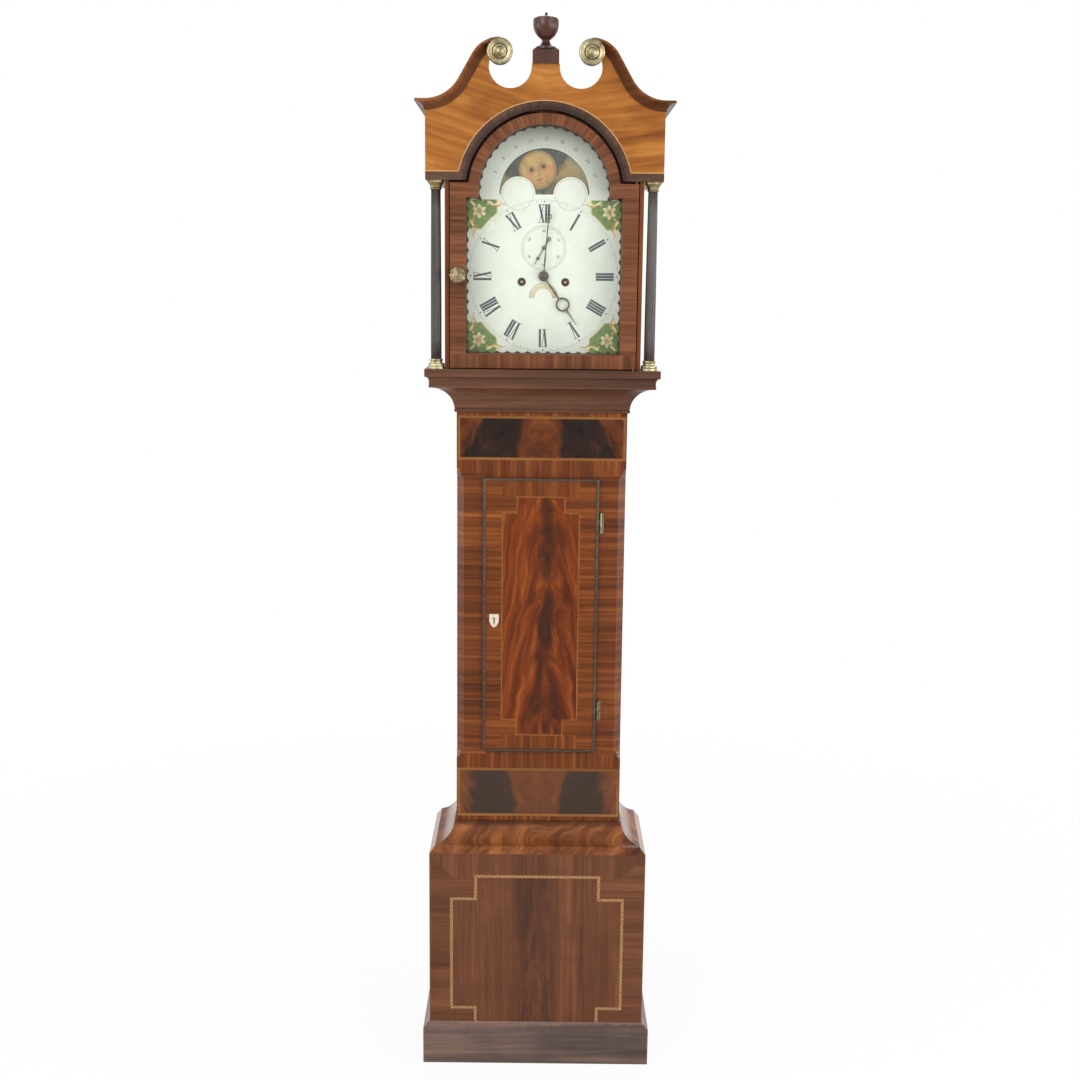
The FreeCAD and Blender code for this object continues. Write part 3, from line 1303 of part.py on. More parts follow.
snail = shape_piece("snail", snail_shape(12, 10, 21, 1.6), 0, front_face + 8.2, S.dial_centre)
piece("hour_wheel", hour_sleeve, hour_wheel, snail)
hour_points = [(2.6, 0), (1.4, 16), (2.5, 26), (1.4, 36), (2.3, 46), (1.4, 57), (1.4, 87), (2.4, 90), (1.4, 94),
               (0.4, 124)]
hour_rings = [(0, 11, 0), (72, 15, 11.2)]
hour_shape = hand_shape(hour_points, hour_rings, 1.5, hour_radius)
piece("hour_hand", hand("hour_blade", hour_shape, S.dial_centre, S.hour_hand_depth, 145))
seconds_points = [(1.4, -26), (1.0, -12), (0.9, 22), (4.5, 25), (0.9, 28), (0.3, 42)]
seconds_shape = hand_shape(seconds_points, [(0, 4, 0), (-22, 4, 2)], 0.8, S.arbor_radius.value)
piece("seconds_hand", hand("seconds_blade", seconds_shape, S.dial_centre + S.seconds_rise, S.seconds_hand_depth, 210))

# striking train, hammer and bell
strike.shaft(pivot_back, layer_zero + 12.5)
piece("strike_great_wheel", *strike.parts)
piece("strike_barrel", barrel("strike_barrel", strike))
pin.shaft(pivot_back, pivot_front)
for number in range(8):
    angle = 2 * math.pi * number / 8
    pin.parts.append(rod(f"hammer_pin_{number}", pin.x + 17.5 * math.cos(angle),
                         S.dial_centre + pin.rise + 17.5 * math.sin(angle), layer_zero + 50.6, layer_zero + 53, 1))
piece("pin_wheel", *pin.parts)
for arbor, name in ((gathering, "gathering_wheel"), (warning, "warning_wheel")):
    arbor.shaft(pivot_back, pivot_front)
    piece(name, *arbor.parts)
fly.shaft(pivot_back, pivot_front)
fly_height = S.dial_centre + fly.rise
fly_vane = box("fly_vane", fly.x - 12, fly.x + 12, layer_zero + 25, layer_zero + 55, fly_height - 0.6, fly_height + 0.6)
fly_bore = rod("fly_bore", fly.x, fly_height, layer_zero + 24, layer_zero + 56, S.arbor_radius)
fly_hub_bar = rod("fly_hub_bar", fly.x, fly_height, layer_zero + 25, layer_zero + 55, S.arbor_radius + 1.2)
piece("fly", *fly.parts, cut("fly_blade", fuse("fly_blank", fly_vane, fly_hub_bar), fly_bore))
hammer_height = S.dial_centre + hammer.rise
bell_foot = S.dial_centre + S.bell_rise
bell_left = -S.bell_radius
hammer_shaft = rod("hammer_arbor", hammer.x, hammer_height, pivot_back, pivot_front, S.arbor_radius)
arm_depth = S.weight_depth - 1.5
hammer_arm = box("hammer_arm", hammer.x - 1.5, hammer.x + 1.5, arm_depth, arm_depth + 3, hammer_height, bell_foot + 10)
head_bar = box("hammer_head", hammer.x - 6, bell_left - 0.6, arm_depth - 3, arm_depth + 6, bell_foot + 2, bell_foot + 11)
hammer_tail = box("hammer_tail", hammer.x, pin.x - 22, layer_zero + 50.6, layer_zero + 52.8, hammer_height - 2,
                  hammer_height + 2)
piece("hammer", fuse("hammer_one", hammer_shaft, hammer_arm, head_bar, hammer_tail))
bell_outline = [
    (0, 31), (7, 31), Arc(28, False), (S.bell_radius - 8, 16), Arc(26, False), (S.bell_radius - 2.5, 0),
    (S.bell_radius, 0), Arc(29, True), (S.bell_radius - 5, 18), Arc(30, True), (7, 34), (0, 34),
]
bell = upright("bell_cup", 0, S.weight_depth, bell_foot, bell_outline)
stand_back = S.back_plate_depth - 6
stand_left = S.plate_half_width - 38
stand = box("bell_stand", stand_left, stand_left + 12, stand_back, S.back_plate_depth, plate_head - 30,
            bell_foot + 34)
stand_bar = box("bell_bar", -6, stand_left + 12, stand_back, S.back_plate_depth, bell_foot + 34, bell_foot + 40)
stand_arm = box("bell_arm", -6, 6, S.back_plate_depth, S.weight_depth + 6, bell_foot + 34, bell_foot + 40)
piece("bell", bell, fuse("bell_bracket", stand, stand_bar, stand_arm))

# weights, pulleys and gut lines
for label, x, arbor in (("going", going_x, going), ("strike", strike_x, strike)):
    head = S.weight_foot + S.weight_height
    pulley_height = head + S.pulley_rise
    weight_outline = [
        (0, 0), (S.weight_radius - 2, 0), (S.weight_radius, 2), (S.weight_radius, S.weight_height - 10),
        Arc(10.5, True), (S.weight_radius - 10, S.weight_height), (0, S.weight_height),
    ]
    mass = upright(label + "_mass", x, S.weight_depth, S.weight_foot, weight_outline)
    straps = []
    for side, back in (("back", S.weight_depth - 7.5), ("front", S.weight_depth + 5.5)):
        straps.append(box(f"{label}_{side}_strap", x - 4, x + 4, back, back + 2, head + 12, pulley_height + 5))
    bridge = box(label + "_strap_bridge", x - 4, x + 4, S.weight_depth - 7.5, S.weight_depth + 7.5, head + 12, head + 16)
    hook = post(label + "_hook", x, S.weight_depth, head - 2, head + 14, 3)
    axle = rod(label + "_axle", x, pulley_height, S.weight_depth - 7.5, S.weight_depth + 7.5, 2.5)
    piece(label + "_weight", fuse(label + "_weight_one", mass, *straps, bridge, hook, axle))
    groove = S.pulley_radius
    sheave_outline = [
        (-5, 2.56), (-5, groove + 3.2), (-3.5, groove + 3.2), (-1.5, groove), (1.5, groove), (3.5, groove + 3.2),
        (5, groove + 3.2), (5, 2.56),
    ]
    piece(label + "_pulley", forward(label + "_sheave", x, S.weight_depth, pulley_height, sheave_outline))
    left = x - pulley_reach
    right = x + pulley_reach
    down = post(label + "_strand_down", left, S.weight_depth, pulley_height, S.dial_centre + arbor.rise, S.line_radius)
    up = post(label + "_strand_up", right, S.weight_depth, pulley_height, seat_head + 2, S.line_radius)
    knot = post(label + "_knot", right, S.weight_depth, seat_head + 0.05, seat_head + 5, S.line_radius + 2)
    loop = document.addObject("Part::Torus", label + "_loop")
    bind(loop, "Radius1", pulley_reach)
    bind(loop, "Radius2", S.line_radius)
    loop.Angle3 = 180
    loop.Placement.Rotation = FreeCAD.Rotation(FreeCAD.Vector(1, 0, 0), -90)
    place(loop, x, S.weight_depth, pulley_height)
    piece(label + "_line", fuse(label + "_line_one", down, up, loop, knot))

document.recompute()
for obj in document.Objects:
    if "Invalid" in obj.State or "Error" in obj.State:
        raise RuntimeError(f"{obj.Name} did not build: {obj.State}")
os.makedirs("parts", exist_ok=True)
for obj in PIECES:
    if obj.Shape.isNull() or not obj.Shape.isValid():
        raise RuntimeError(f"{obj.Label} has no sound shape")
    obj.Shape.exportStep(f"parts/{obj.Label}.step")
print(len(PIECES), "pieces")
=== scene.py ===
"""Dresses the longcase clock: crossbanded veneers, inlay, painted dial, brass mounts and a plain studio."""
from __future__ import annotations

import logging
import math
from dataclasses import dataclass
from enum import Enum
from typing import Callable, Optional, Sequence, Union

import bmesh
import bpy
import numpy as np
from mathutils import Matrix, Vector


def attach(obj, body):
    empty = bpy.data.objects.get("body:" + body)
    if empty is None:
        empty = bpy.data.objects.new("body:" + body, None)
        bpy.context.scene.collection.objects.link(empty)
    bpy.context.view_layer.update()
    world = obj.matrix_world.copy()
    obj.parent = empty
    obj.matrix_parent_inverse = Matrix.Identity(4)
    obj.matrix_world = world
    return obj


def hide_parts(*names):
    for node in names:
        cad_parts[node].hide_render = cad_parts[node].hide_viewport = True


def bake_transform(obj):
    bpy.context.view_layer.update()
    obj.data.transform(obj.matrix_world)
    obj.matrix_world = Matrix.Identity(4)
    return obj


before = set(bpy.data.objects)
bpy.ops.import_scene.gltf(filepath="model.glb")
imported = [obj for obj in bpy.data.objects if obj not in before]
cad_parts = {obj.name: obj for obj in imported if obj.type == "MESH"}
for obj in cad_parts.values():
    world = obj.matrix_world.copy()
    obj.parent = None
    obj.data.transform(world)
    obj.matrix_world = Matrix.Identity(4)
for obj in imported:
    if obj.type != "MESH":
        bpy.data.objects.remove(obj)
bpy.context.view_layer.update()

LOG = logging.getLogger("longcase_clock")
MM = 0.001
DIAL_CENTRE = 1.769
ARCH_CENTRE = 1.9388
DIAL_FACE = -0.029
DISC_FACE = -0.0246
UPPER_FRIEZE = (1.380, 1.470)
LOWER_FRIEZE = (0.5695, 0.677)
DOOR_PANEL = (0.761, 1.298)
DOOR_PANEL_HALF = 0.0838
DOOR_NOTCH = (0.032, 0.035)
DEPTHWISE = np.array([0.0, 1.0, 0.0])

Array = np.ndarray
Rgb = tuple[int, int, int]
Colour = tuple[float, float, float, float]


def linear(colour: Rgb) -> Colour:
    """Turn a screen colour into the linear colour that a shader takes.

    Args:
        colour: three bytes.

    Returns:
        Three linear shares and an alpha of 1.
    """
    share = np.array(colour) / 255
    bright = ((share + 0.055) / 1.055) ** 2.4
    return (*np.where(share <= 0.04045, share / 12.92, bright).tolist(), 1.0)


def operator(operation: str, reflected: bool = False) -> Callable[[Wire, Term], Wire]:
    """Make the method of one operator on wires.

    Args:
        operation: the Math node's operation.
        reflected: whether the wire is the second term.

    Returns:
        A method that adds the Math node.
    """

    def method(self: Wire, other: Term) -> Wire:
        """Add a Math node on this value and another."""
        return self.graph.math(operation, *((other, self) if reflected else (self, other)))

    return method


class Wire:
    """A value inside a material that takes part in Python sums; each operator adds one Math node."""

    __add__ = operator("ADD")
    __radd__ = operator("ADD", True)
    __sub__ = operator("SUBTRACT")
    __rsub__ = operator("SUBTRACT", True)
    __mul__ = operator("MULTIPLY")
    __rmul__ = operator("MULTIPLY", True)
    __truediv__ = operator("DIVIDE")
    __rtruediv__ = operator("DIVIDE", True)
    __gt__ = operator("GREATER_THAN")
    __lt__ = operator("LESS_THAN")

    def __init__(self, graph: Graph, socket: bpy.types.NodeSocket) -> None:
        """Keep the graph and the output socket that the value comes from."""
        self.graph = graph
        self.socket = socket

    def __abs__(self) -> Wire:
        """Drop the sign."""
        return self.graph.math("ABSOLUTE", self)


Term = Union[Wire, float]


class Graph:
    """The node tree of one material, or of the world."""

    def __init__(self, owner: Union[bpy.types.Material, bpy.types.World]) -> None:
        """Empty the owner's node tree.

        Args:
            owner: the material or world whose nodes are made.
        """
        owner.use_nodes = True
        self.owner = owner
        self.tree = owner.node_tree
        self.tree.nodes.clear()

    @classmethod
    def new(cls, name: str) -> Graph:
        """Start a new material of this name."""
        return cls(bpy.data.materials.new(name))

    def node(self, kind: str, settings: Optional[dict] = None, sockets: Optional[dict] = None) -> bpy.types.Node:
        """Add any node.

        Args:
            kind: the node's type.
            settings: its own properties, set first; "stops" gives a colour ramp's places and colours.
            sockets: values or wires by socket name or number.

        Returns:
            The node.
        """
        made = self.tree.nodes.new(kind)
        for key, value in (settings or {}).items():
            if key == "stops":
                self.set_stops(made.color_ramp, value)
            else:
                setattr(made, key, value)
        for key, value in (sockets or {}).items():
            if isinstance(value, Wire):
                self.tree.links.new(value.socket, made.inputs[key])
            else:
                made.inputs[key].default_value = value
        return made

    @staticmethod
    def set_stops(ramp: bpy.types.ColorRamp, stops: Sequence[tuple[float, Rgb]]) -> None:
        """Give a colour ramp its stops.

        Args:
            ramp: the ramp, as new with two stops.
            stops: places from 0 to 1 with screen colours, two at least.
        """
        for _ in stops[2:]:
            ramp.elements.new(1.0)
        for element, (place, colour) in zip(ramp.elements, stops):
            element.position = place
            element.color = linear(colour)

    def math(self, operation: str, *terms: Term) -> Wire:
        """Add a Math node on one to three terms."""
        return Wire(self, self.node("ShaderNodeMath", {"operation": operation}, dict(enumerate(terms))).outputs[0])

    def least(self, first: Term, second: Term) -> Wire:
        """Give the smaller of two values."""
        return self.math("MINIMUM", first, second)

    def most(self, first: Term, second: Term) -> Wire:
        """Give the larger of two values."""
        return self.math("MAXIMUM", first, second)

    def hypot(self, across: Wire, up: Wire) -> Wire:
        """Give the distance that two square distances make."""
        return self.math("SQRT", across * across + up * up)

    def smooth(self, value: Wire, low: float, high: float) -> Wire:
        """Rise smoothly from 0 at low to 1 at high, or fall where high is the lower."""
        return Wire(self, self.node("ShaderNodeMapRange", {"interpolation_type": "SMOOTHSTEP"},
                                    {0: value, 1: low, 2: high}).outputs[0])

    def place(self, output: str = "Object") -> tuple[Wire, Wire, Wire]:
        """Give the three parts of a texture coordinate.

        Args:
            output: Object for the place in metres, UV for the piece's own map, or Normal.

        Returns:
            The three parts.
        """
        source = self.node("ShaderNodeTexCoord").outputs[output]
        parts = self.node("ShaderNodeSeparateXYZ", None, {0: Wire(self, source)})
        return tuple(Wire(self, socket) for socket in parts.outputs)

    def noise(self, where: Sequence[Term], detail: float = 3.0, rough: float = 0.55, twist: float = 0.0) -> Wire:
        """Give soft noise of about one wave to the unit.

        Args:
            where: the three terms of the place.
            detail: how many finer waves are added.
            rough: how strong the finer waves are.
            twist: how far the noise bends itself.

        Returns:
            The noise, about 0.5.
        """
        place = Wire(self, self.node("ShaderNodeCombineXYZ", None, dict(enumerate(where))).outputs[0])
        made = self.node("ShaderNodeTexNoise", None,
                         {"Vector": place, "Scale": 1.0, "Detail": detail, "Roughness": rough, "Distortion": twist})
        return Wire(self, made.outputs[0])

    def mottle(self, scale: float, detail: float = 4.0, rough: float = 0.6) -> Wire:
        """Give noise that is even every way, of about this many waves to the metre."""
        return self.noise([part * scale for part in self.place()], detail, rough)

    def ramp(self, value: Wire, *stops: tuple[float, Rgb]) -> Wire:
        """Colour a value by stops of place and screen colour."""
        return Wire(self, self.node("ShaderNodeValToRGB", {"stops": stops}, {0: value}).outputs[0])

    def blend(self, share: Term, first: Union[Wire, Rgb], second: Union[Wire, Rgb]) -> Wire:
        """Mix two colours.

        Args:
            share: how much of the second there is, from 0 to 1.
            first: a wire or a screen colour.
            second: a wire or a screen colour.

        Returns:
            The mixed colour.
        """
        colours = [linear(colour) if isinstance(colour, tuple) else colour for colour in (first, second)]
        made = self.node("ShaderNodeMix", {"data_type": "RGBA"}, {0: share, 6: colours[0], 7: colours[1]})
        return Wire(self, made.outputs[2])

    def close(self, sockets: dict, height: Wire, depth: float) -> bpy.types.Material:
        """End the material in its shader, with a relief.

        Args:
            sockets: the shader's values and wires by socket name.
            height: the relief, from about 0 to 1.
            depth: what a height of 1 stands for, in metres.

        Returns:
            The finished material.
        """
        bump = self.node("ShaderNodeBump", None, {"Strength": 1.0, "Distance": depth, "Height": height})
        normal = Wire(self, bump.outputs[0])
        shader = self.node("ShaderNodeBsdfPrincipled", None, {**sockets, "Normal": normal})
        self.node("ShaderNodeOutputMaterial", None, {"Surface": Wire(self, shader.outputs[0])})
        return self.owner


class Grain(Enum):
    """The way the grain runs on a plain wooden piece."""

    LEVEL = "along the width and the depth"
    UPRIGHT = "along the height"
    SLANTED = "nearly level, rising slowly"
    ROUND_ARCH = "outward from the middle of the dial arch"


@dataclass(frozen=True)
class Wood:
    """A polished wood whose streaks follow one direction."""

    name: str
    dark: Rgb
    middle: Rgb
    light: Rgb
    grain: Grain = Grain.LEVEL
    streaks: float = 120.0
    waves: float = 10.0
    contrast: float = 2.0
    roughness: float = 0.34
    gloss: float = 0.16
    polish: float = 0.0
    side_polish: float = 0.0
    clouds: float = 0.0
    corner: tuple[float, float] = (0.0, 0.0)
    # height of the top rim, lightened as wear and a painted highlight
    rim: float = 0.0
    # depths over which painted shade darkens the back of a recess
    recess: tuple[float, float] = (0.0, 0.0)
    open_pores: float = 1.0

    def run(self, graph: Graph) -> tuple[Wire, Wire]:
        """Give the places across and along the grain.

        Args:
            graph: the material's nodes.

        Returns:
            Both places in metres.
        """
        x, y, z = graph.place()
        if self.grain is Grain.UPRIGHT:
            return x + y, z
        if self.grain is Grain.SLANTED:
            return z - abs(x) * 0.22 + x * 0.1, x + y
        if self.grain is Grain.ROUND_ARCH:
            rise = z - ARCH_CENTRE
            return graph.math("ARCTAN2", x, graph.most(rise, 0.001)) * 0.17, graph.hypot(x, rise)
        facing = graph.place("Normal")
        side = abs(facing[0]) > abs(facing[1])
        return z + (side * x + (1.0 - side) * y) * 0.35, side * y + (1.0 - side) * x

    def tone(self, graph: Graph, across: Wire, along: Wire) -> tuple[Wire, Wire]:
        """Work out the light and dark of the streaks.

        Args:
            graph: the material's nodes.
            across: place across the grain in metres.
            along: place along the grain in metres.

        Returns:
            The tone about 0.5, and fine pores from 0 to 1.
        """
        broad = graph.noise((across * self.waves, along * 1.7, 0.0), 2.0)
        bend = across + (broad - 0.5) * 0.02
        streak = graph.noise((bend * self.streaks, along * 3.0, 4.0), 4.0, 0.62)
        pores = graph.noise((bend * 1500.0, along * 42.0, 9.0), 1.0)
        tone = (broad * 0.5 + streak * 0.5 - 0.5) * self.contrast + 0.5
        return tone, pores

    def paint(self, graph: Graph, tone: Wire) -> Wire:
        """Colour the tone from the dark to the light of the wood."""
        return graph.ramp(tone, (0.12, self.dark), (0.5, self.middle), (0.88, self.light))

    def rubbed(self, graph: Graph, colour: Wire) -> Wire:
        """Lighten the colour in patches: as wear along the upright front corners, and as wear with a painted
        highlight along the top rim, where they are given.

        Args:
            graph: the material's nodes.
            colour: the painted grain.

        Returns:
            The worn colour, with the painted highlight on the rim.
        """
        x, y, z = graph.place()
        half, front = self.corner
        away = graph.most(half - abs(x), y - front)
        # The top rim is lightened as wear and a painted highlight.
        if self.rim:
            away = graph.least(away, (self.rim - z) * 0.5)
        rub = graph.mottle(48.0, rough=0.7)
        worn_and_lit = graph.smooth(away + (rub - 0.5) * 0.009, 0.0032, 0.0006)
        return graph.blend(worn_and_lit * 0.55, colour, self.light)

    def sheen(self, graph: Graph) -> Term:
        """Give the polish of the whole piece, or of its faces turned to the sides.

        Args:
            graph: the material's nodes.

        Returns:
            The share of clear polish.
        """
        if not self.side_polish:
            return self.polish
        return graph.smooth(abs(graph.place("Normal")[0]), 0.3, 0.6) * self.side_polish

    def shade(self, graph: Graph, colour: Wire, tone: Wire, pores: Wire) -> bpy.types.Material:
        """End the wood in its pores, wear, painted highlight, painted shade and polish.

        Args:
            graph: the material's nodes.
            colour: the painted grain.
            tone: its light and dark.
            pores: fine open pores.

        Returns:
            The material.
        """
        deep = graph.smooth(pores, 0.40, 0.27) * self.open_pores
        colour = graph.blend(deep * 0.45, colour, self.dark)
        if self.clouds:
            x, y, z = graph.place()
            cloud = graph.noise((x * 6.0, y * 6.0, z * 11.0), 3.0, 0.6)
            colour = graph.blend(graph.smooth(cloud, 0.44, 0.68) * self.clouds, colour, self.dark)
        if self.corner[0]:
            colour = self.rubbed(graph, colour)
        # Painted shade, darkening the piece towards the back of a recess.
        if self.recess[0]:
            painted_shade = graph.smooth(graph.place()[1], *self.recess)
            colour = graph.blend(painted_shade * 0.65, colour, self.dark)
        rough = self.roughness + (tone - 0.5) * 0.16 + deep * 0.12
        return graph.close({"Base Color": colour, "Roughness": rough, "Specular IOR Level": self.gloss,
                            "Coat Weight": self.sheen(graph), "Coat Roughness": 0.2}, tone * 0.6 - deep * 0.6,
                           0.00018 * self.open_pores)

    def figure(self, graph: Graph, colour: Wire) -> Wire:
        """Draw what lies over the plain grain: nothing, unless the wood is a figured one."""
        return colour

    def material(self) -> bpy.types.Material:
        """Make the wood's material: grain, figure, pores, wear, painted highlight and shade, and polish.

        Returns:
            The finished material.
        """
        graph = Graph.new(self.name)
        tone, pores = self.tone(graph, *self.run(graph))
        return self.shade(graph, self.figure(graph, self.paint(graph, tone)), tone, pores)


@dataclass(frozen=True)
class ArchMoulding(Wood):
    """Moulding round the dial arch: light on its crown, with painted shade towards its inner edge."""

    crown: float = 0.177
    inner: float = 0.166

    def figure(self, graph: Graph, colour: Wire) -> Wire:
        """Paint shade over the grain, darker from the crown to the inner edge.

        Args:
            graph: the material's nodes.
            colour: the painted grain.

        Returns:
            The colour with painted shade.
        """
        x, _, z = graph.place()
        painted_shade = graph.smooth(graph.hypot(x, z - ARCH_CENTRE), self.crown, self.inner)
        return graph.blend(painted_shade * 0.75, colour, self.dark)


@dataclass(frozen=True)
class TrunkVeneer(Wood):
    """Trunk front: level crossbanding on the stiles, upright on the rails, and two dark flame panels."""

    upper: tuple[float, float] = UPPER_FRIEZE
    lower: tuple[float, float] = LOWER_FRIEZE
    stile: float = 0.118
    rails: tuple[float, float] = (0.714, 1.347)

    def sheen(self, graph: Graph) -> Term:
        """Give the canted corners some polish, and most at their stops, which dusting reaches first.

        Args:
            graph: the material's nodes.

        Returns:
            The share of clear polish.
        """
        facing = abs(graph.place("Normal")[0])
        away = abs(graph.place()[2] - sum(self.rails) / 2)
        stop = graph.smooth(away, 0.305, 0.316)
        return graph.smooth(facing, 0.15, 0.5) * (0.35 + stop * 0.65)

    def run(self, graph: Graph) -> tuple[Wire, Wire]:
        """Run the grain level on the stiles and upright on the rails.

        Args:
            graph: the material's nodes.

        Returns:
            The places across and along the grain in metres.
        """
        x, y, z = graph.place()
        side = (abs(x) > self.stile) * (z > self.rails[0]) * (z < self.rails[1])
        return side * z + (1.0 - side) * x, side * (x + y) + (1.0 - side) * z

    def figure(self, graph: Graph, colour: Wire) -> Wire:
        """Lay the two flame panels: a light heart between dark flanks, with an edge that the flame bends.

        Args:
            graph: the material's nodes.
            colour: the painted crossbanding.

        Returns:
            The colour with both panels.
        """
        x, _, z = graph.place()
        upper = (z > self.upper[0]) * (z < self.upper[1])
        lower = (z > self.lower[0]) * (z < self.lower[1])
        height = z - upper * sum(self.upper) / 2 - lower * sum(self.lower) / 2
        warp = graph.noise((x * 17.0, 6.0, z * 19.0), 3.0, 0.6)
        reach = abs(x + 0.003 + (warp - 0.5) * 0.034)
        arch = height * (1.0 - lower * 2.0) + reach * reach * 5.0 + (warp - 0.5) * 0.03
        flame = graph.noise((arch * 26.0, reach * 20.0, z * 2.0), 5.0, 0.66, 0.6)
        edge = reach + (flame - 0.5) * 0.045 + height * (0.12 - lower * 0.32)
        inner = edge - lower * 0.014
        dark = graph.smooth(inner, 0.036, 0.050) * graph.smooth(edge + height * 0.35, 0.164, 0.136)
        heart = graph.ramp(flame, (0.28, (60, 27, 10)), (0.5, (88, 42, 16)), (0.72, (122, 66, 28)))
        heart = graph.blend(lower * 0.45, heart, (112, 72, 50))
        flank = graph.ramp(flame, (0.34, (22, 14, 11)), (0.58, (38, 22, 16)), (0.80, (84, 44, 24)))
        flank = graph.blend(lower * 0.45, flank, (80, 64, 54))
        return graph.blend(upper + lower, colour, graph.blend(dark, heart, flank))


@dataclass(frozen=True)
class DoorVeneer(Wood):
    """Trunk door: a crossbanded border round a flame panel with a dark feather down its middle."""

    half_panel: float = DOOR_PANEL_HALF
    panel: tuple[float, float] = DOOR_PANEL
    notch: tuple[float, float] = DOOR_NOTCH
    board_front: float = -0.060

    @property
    def middle_height(self) -> float:
        """Give the height of the panel's middle."""
        return sum(self.panel) / 2

    @property
    def half_height(self) -> float:
        """Give half the panel's height."""
        return (self.panel[1] - self.panel[0]) / 2

    def run(self, graph: Graph) -> tuple[Wire, Wire]:
        """Run the grain upright over and under the panel, and level beside it.

        Args:
            graph: the material's nodes.

        Returns:
            The places across and along the grain in metres.
        """
        x, y, z = graph.place()
        rail = (abs(z - self.middle_height) > self.half_height) * (abs(x) < self.half_panel)
        return rail * x + (1.0 - rail) * z, rail * z + (1.0 - rail) * (x + y)

    def figure(self, graph: Graph, colour: Wire) -> Wire:
        """Lay the notched panel: flames that arch away on both sides of a swaying dark feather.

        Args:
            graph: the material's nodes.
            colour: the painted crossbanding.

        Returns:
            The colour with the panel on the front of the board.
        """
        x, y, z = graph.place()
        sway = graph.noise((3.0, 0.0, z * 4.2), 2.0, 0.6)
        curl = graph.noise((x * 16.0, 5.0, z * 7.0), 3.0, 0.6)
        off = x - 0.012 + (sway - 0.5) * 0.066 + (curl - 0.5) * 0.026
        reach = abs(off)
        arch = z + reach * reach * 34.0 + (curl - 0.5) * 0.07
        flame = graph.noise((arch * 11.0, reach * 22.0, 2.0), 5.0, 0.62, 0.5)
        fine = graph.noise((arch * 100.0, reach * 60.0, 7.0), 3.0, 0.6)
        heat = flame * 0.78 + fine * 0.22 + graph.smooth(off, 0.0, -0.035) * 0.035
        fire = graph.ramp(heat, (0.32, (56, 23, 8)), (0.45, (90, 38, 10)), (0.56, (116, 52, 14)),
                          (0.72, (156, 84, 30)))
        patch = graph.smooth(graph.noise((1.0, x * 9.0, z * 5.5), 3.0, 0.6), 0.40, 0.56)
        feather = graph.smooth(reach + (flame - 0.5) * 0.05, 0.028, 0.007) * (patch * 0.65 + 0.35)
        fire = graph.blend(feather * 0.88, fire, (48, 26, 14))
        high = abs(z - self.middle_height)
        tall = (abs(x) < self.half_panel - self.notch[0]) * (high < self.half_height)
        wide = (abs(x) < self.half_panel) * (high < self.half_height - self.notch[1])
        return graph.blend(graph.most(tall, wide) * (y < self.board_front), colour, fire)


@dataclass(frozen=True)
class BaseVeneer(Wood):
    """Base front: level crossbanding at the sides and an upright panel with a dark figure in the inlay."""

    half_front: float = 0.2405
    half_panel: float = 0.188
    panel_top: float = 0.442
    notch: float = 0.054
    notch_foot: float = 0.129

    def inside(self, graph: Graph) -> Wire:
        """Mask the panel within the notched inlay.

        Args:
            graph: the material's nodes.

        Returns:
            1 in the panel and 0 outside.
        """
        x, _, z = graph.place()
        tall = (abs(x) < self.half_panel - self.notch) * (z < self.panel_top)
        wide = (abs(x) < self.half_panel) * (z < self.panel_top - self.notch) * (z > self.notch_foot)
        return graph.most(tall, wide)

    def run(self, graph: Graph) -> tuple[Wire, Wire]:
        """Run the grain level at the sides, and upright in the panel and, mitred, over it.

        Args:
            graph: the material's nodes.

        Returns:
            The places across and along the grain in metres.
        """
        x, y, z = graph.place()
        border = (1.0 - self.inside(graph)) * (abs(x) < self.half_front)
        cap = border * (z - self.panel_top > graph.most(abs(x) - self.half_panel, 0.0))
        level = border * (1.0 - cap)
        return level * z + (1.0 - level) * (x + y), level * (x + y) + (1.0 - level) * z

    def figure(self, graph: Graph, colour: Wire) -> Wire:
        """Draw the dark figure that sways up the middle of the panel.

        Args:
            graph: the material's nodes.
            colour: the painted grain.

        Returns:
            The colour with the figure.
        """
        x, _, z = graph.place()
        sway = graph.noise((x * 7.0, 0.0, z * 6.0), 4.0, 0.62)
        reach = abs(x + 0.004 + (sway - 0.5) * 0.06)
        streak = graph.noise((x * 30.0, reach * 12.0, z * 12.0 + reach * 24.0), 5.0, 0.68, 0.5)
        broken = graph.smooth(streak, 0.34, 0.62) * 0.6 + 0.4
        dark = graph.smooth(reach + (streak - 0.5) * 0.07, 0.062, 0.030) * broken
        return graph.blend(dark * self.inside(graph) * 0.6, colour, (48, 31, 24))


@dataclass(frozen=True)
class CoveFlame(Wood):
    """Cove over the base: flame veneer whose streaks cross it slantwise, with a painted shadow along the foot of the
    trunk.
    """

    # heights of a painted shadow along the head of the cove, under the trunk
    foot_line: tuple[float, float] = (0.542, 0.5525)

    def run(self, graph: Graph) -> tuple[Wire, Wire]:
        """Run the grain slantwise over the rise of the cove, curling as it goes.

        Args:
            graph: the material's nodes.

        Returns:
            The places across and along the grain in metres.
        """
        x, y, z = graph.place()
        rise = z * 0.9 - y * 0.5
        curl = graph.noise((x * 6.0, 1.0, rise * 9.0), 2.0, 0.5)
        return rise - x * 0.32 + (curl - 0.5) * 0.12, x + rise * 0.3

    def tone(self, graph: Graph, across: Wire, along: Wire) -> tuple[Wire, Wire]:
        """Add broad flames to the streaks.

        Args:
            graph: the material's nodes.
            across: place across the grain in metres.
            along: place along the grain in metres.

        Returns:
            The tone about 0.5, and fine pores from 0 to 1.
        """
        tone, pores = super().tone(graph, across, along)
        flame = graph.noise((across * 44.0, along * 7.0, 2.0), 5.0, 0.62)
        return (flame - 0.5) * 2.2 + (tone - 0.5) * 0.5 + 0.52, pores

    def figure(self, graph: Graph, colour: Wire) -> Wire:
        """Darken the head of the cove with a painted shadow under the trunk."""
        return graph.blend(graph.smooth(graph.place()[2], *self.foot_line) * 0.7, colour, self.dark)


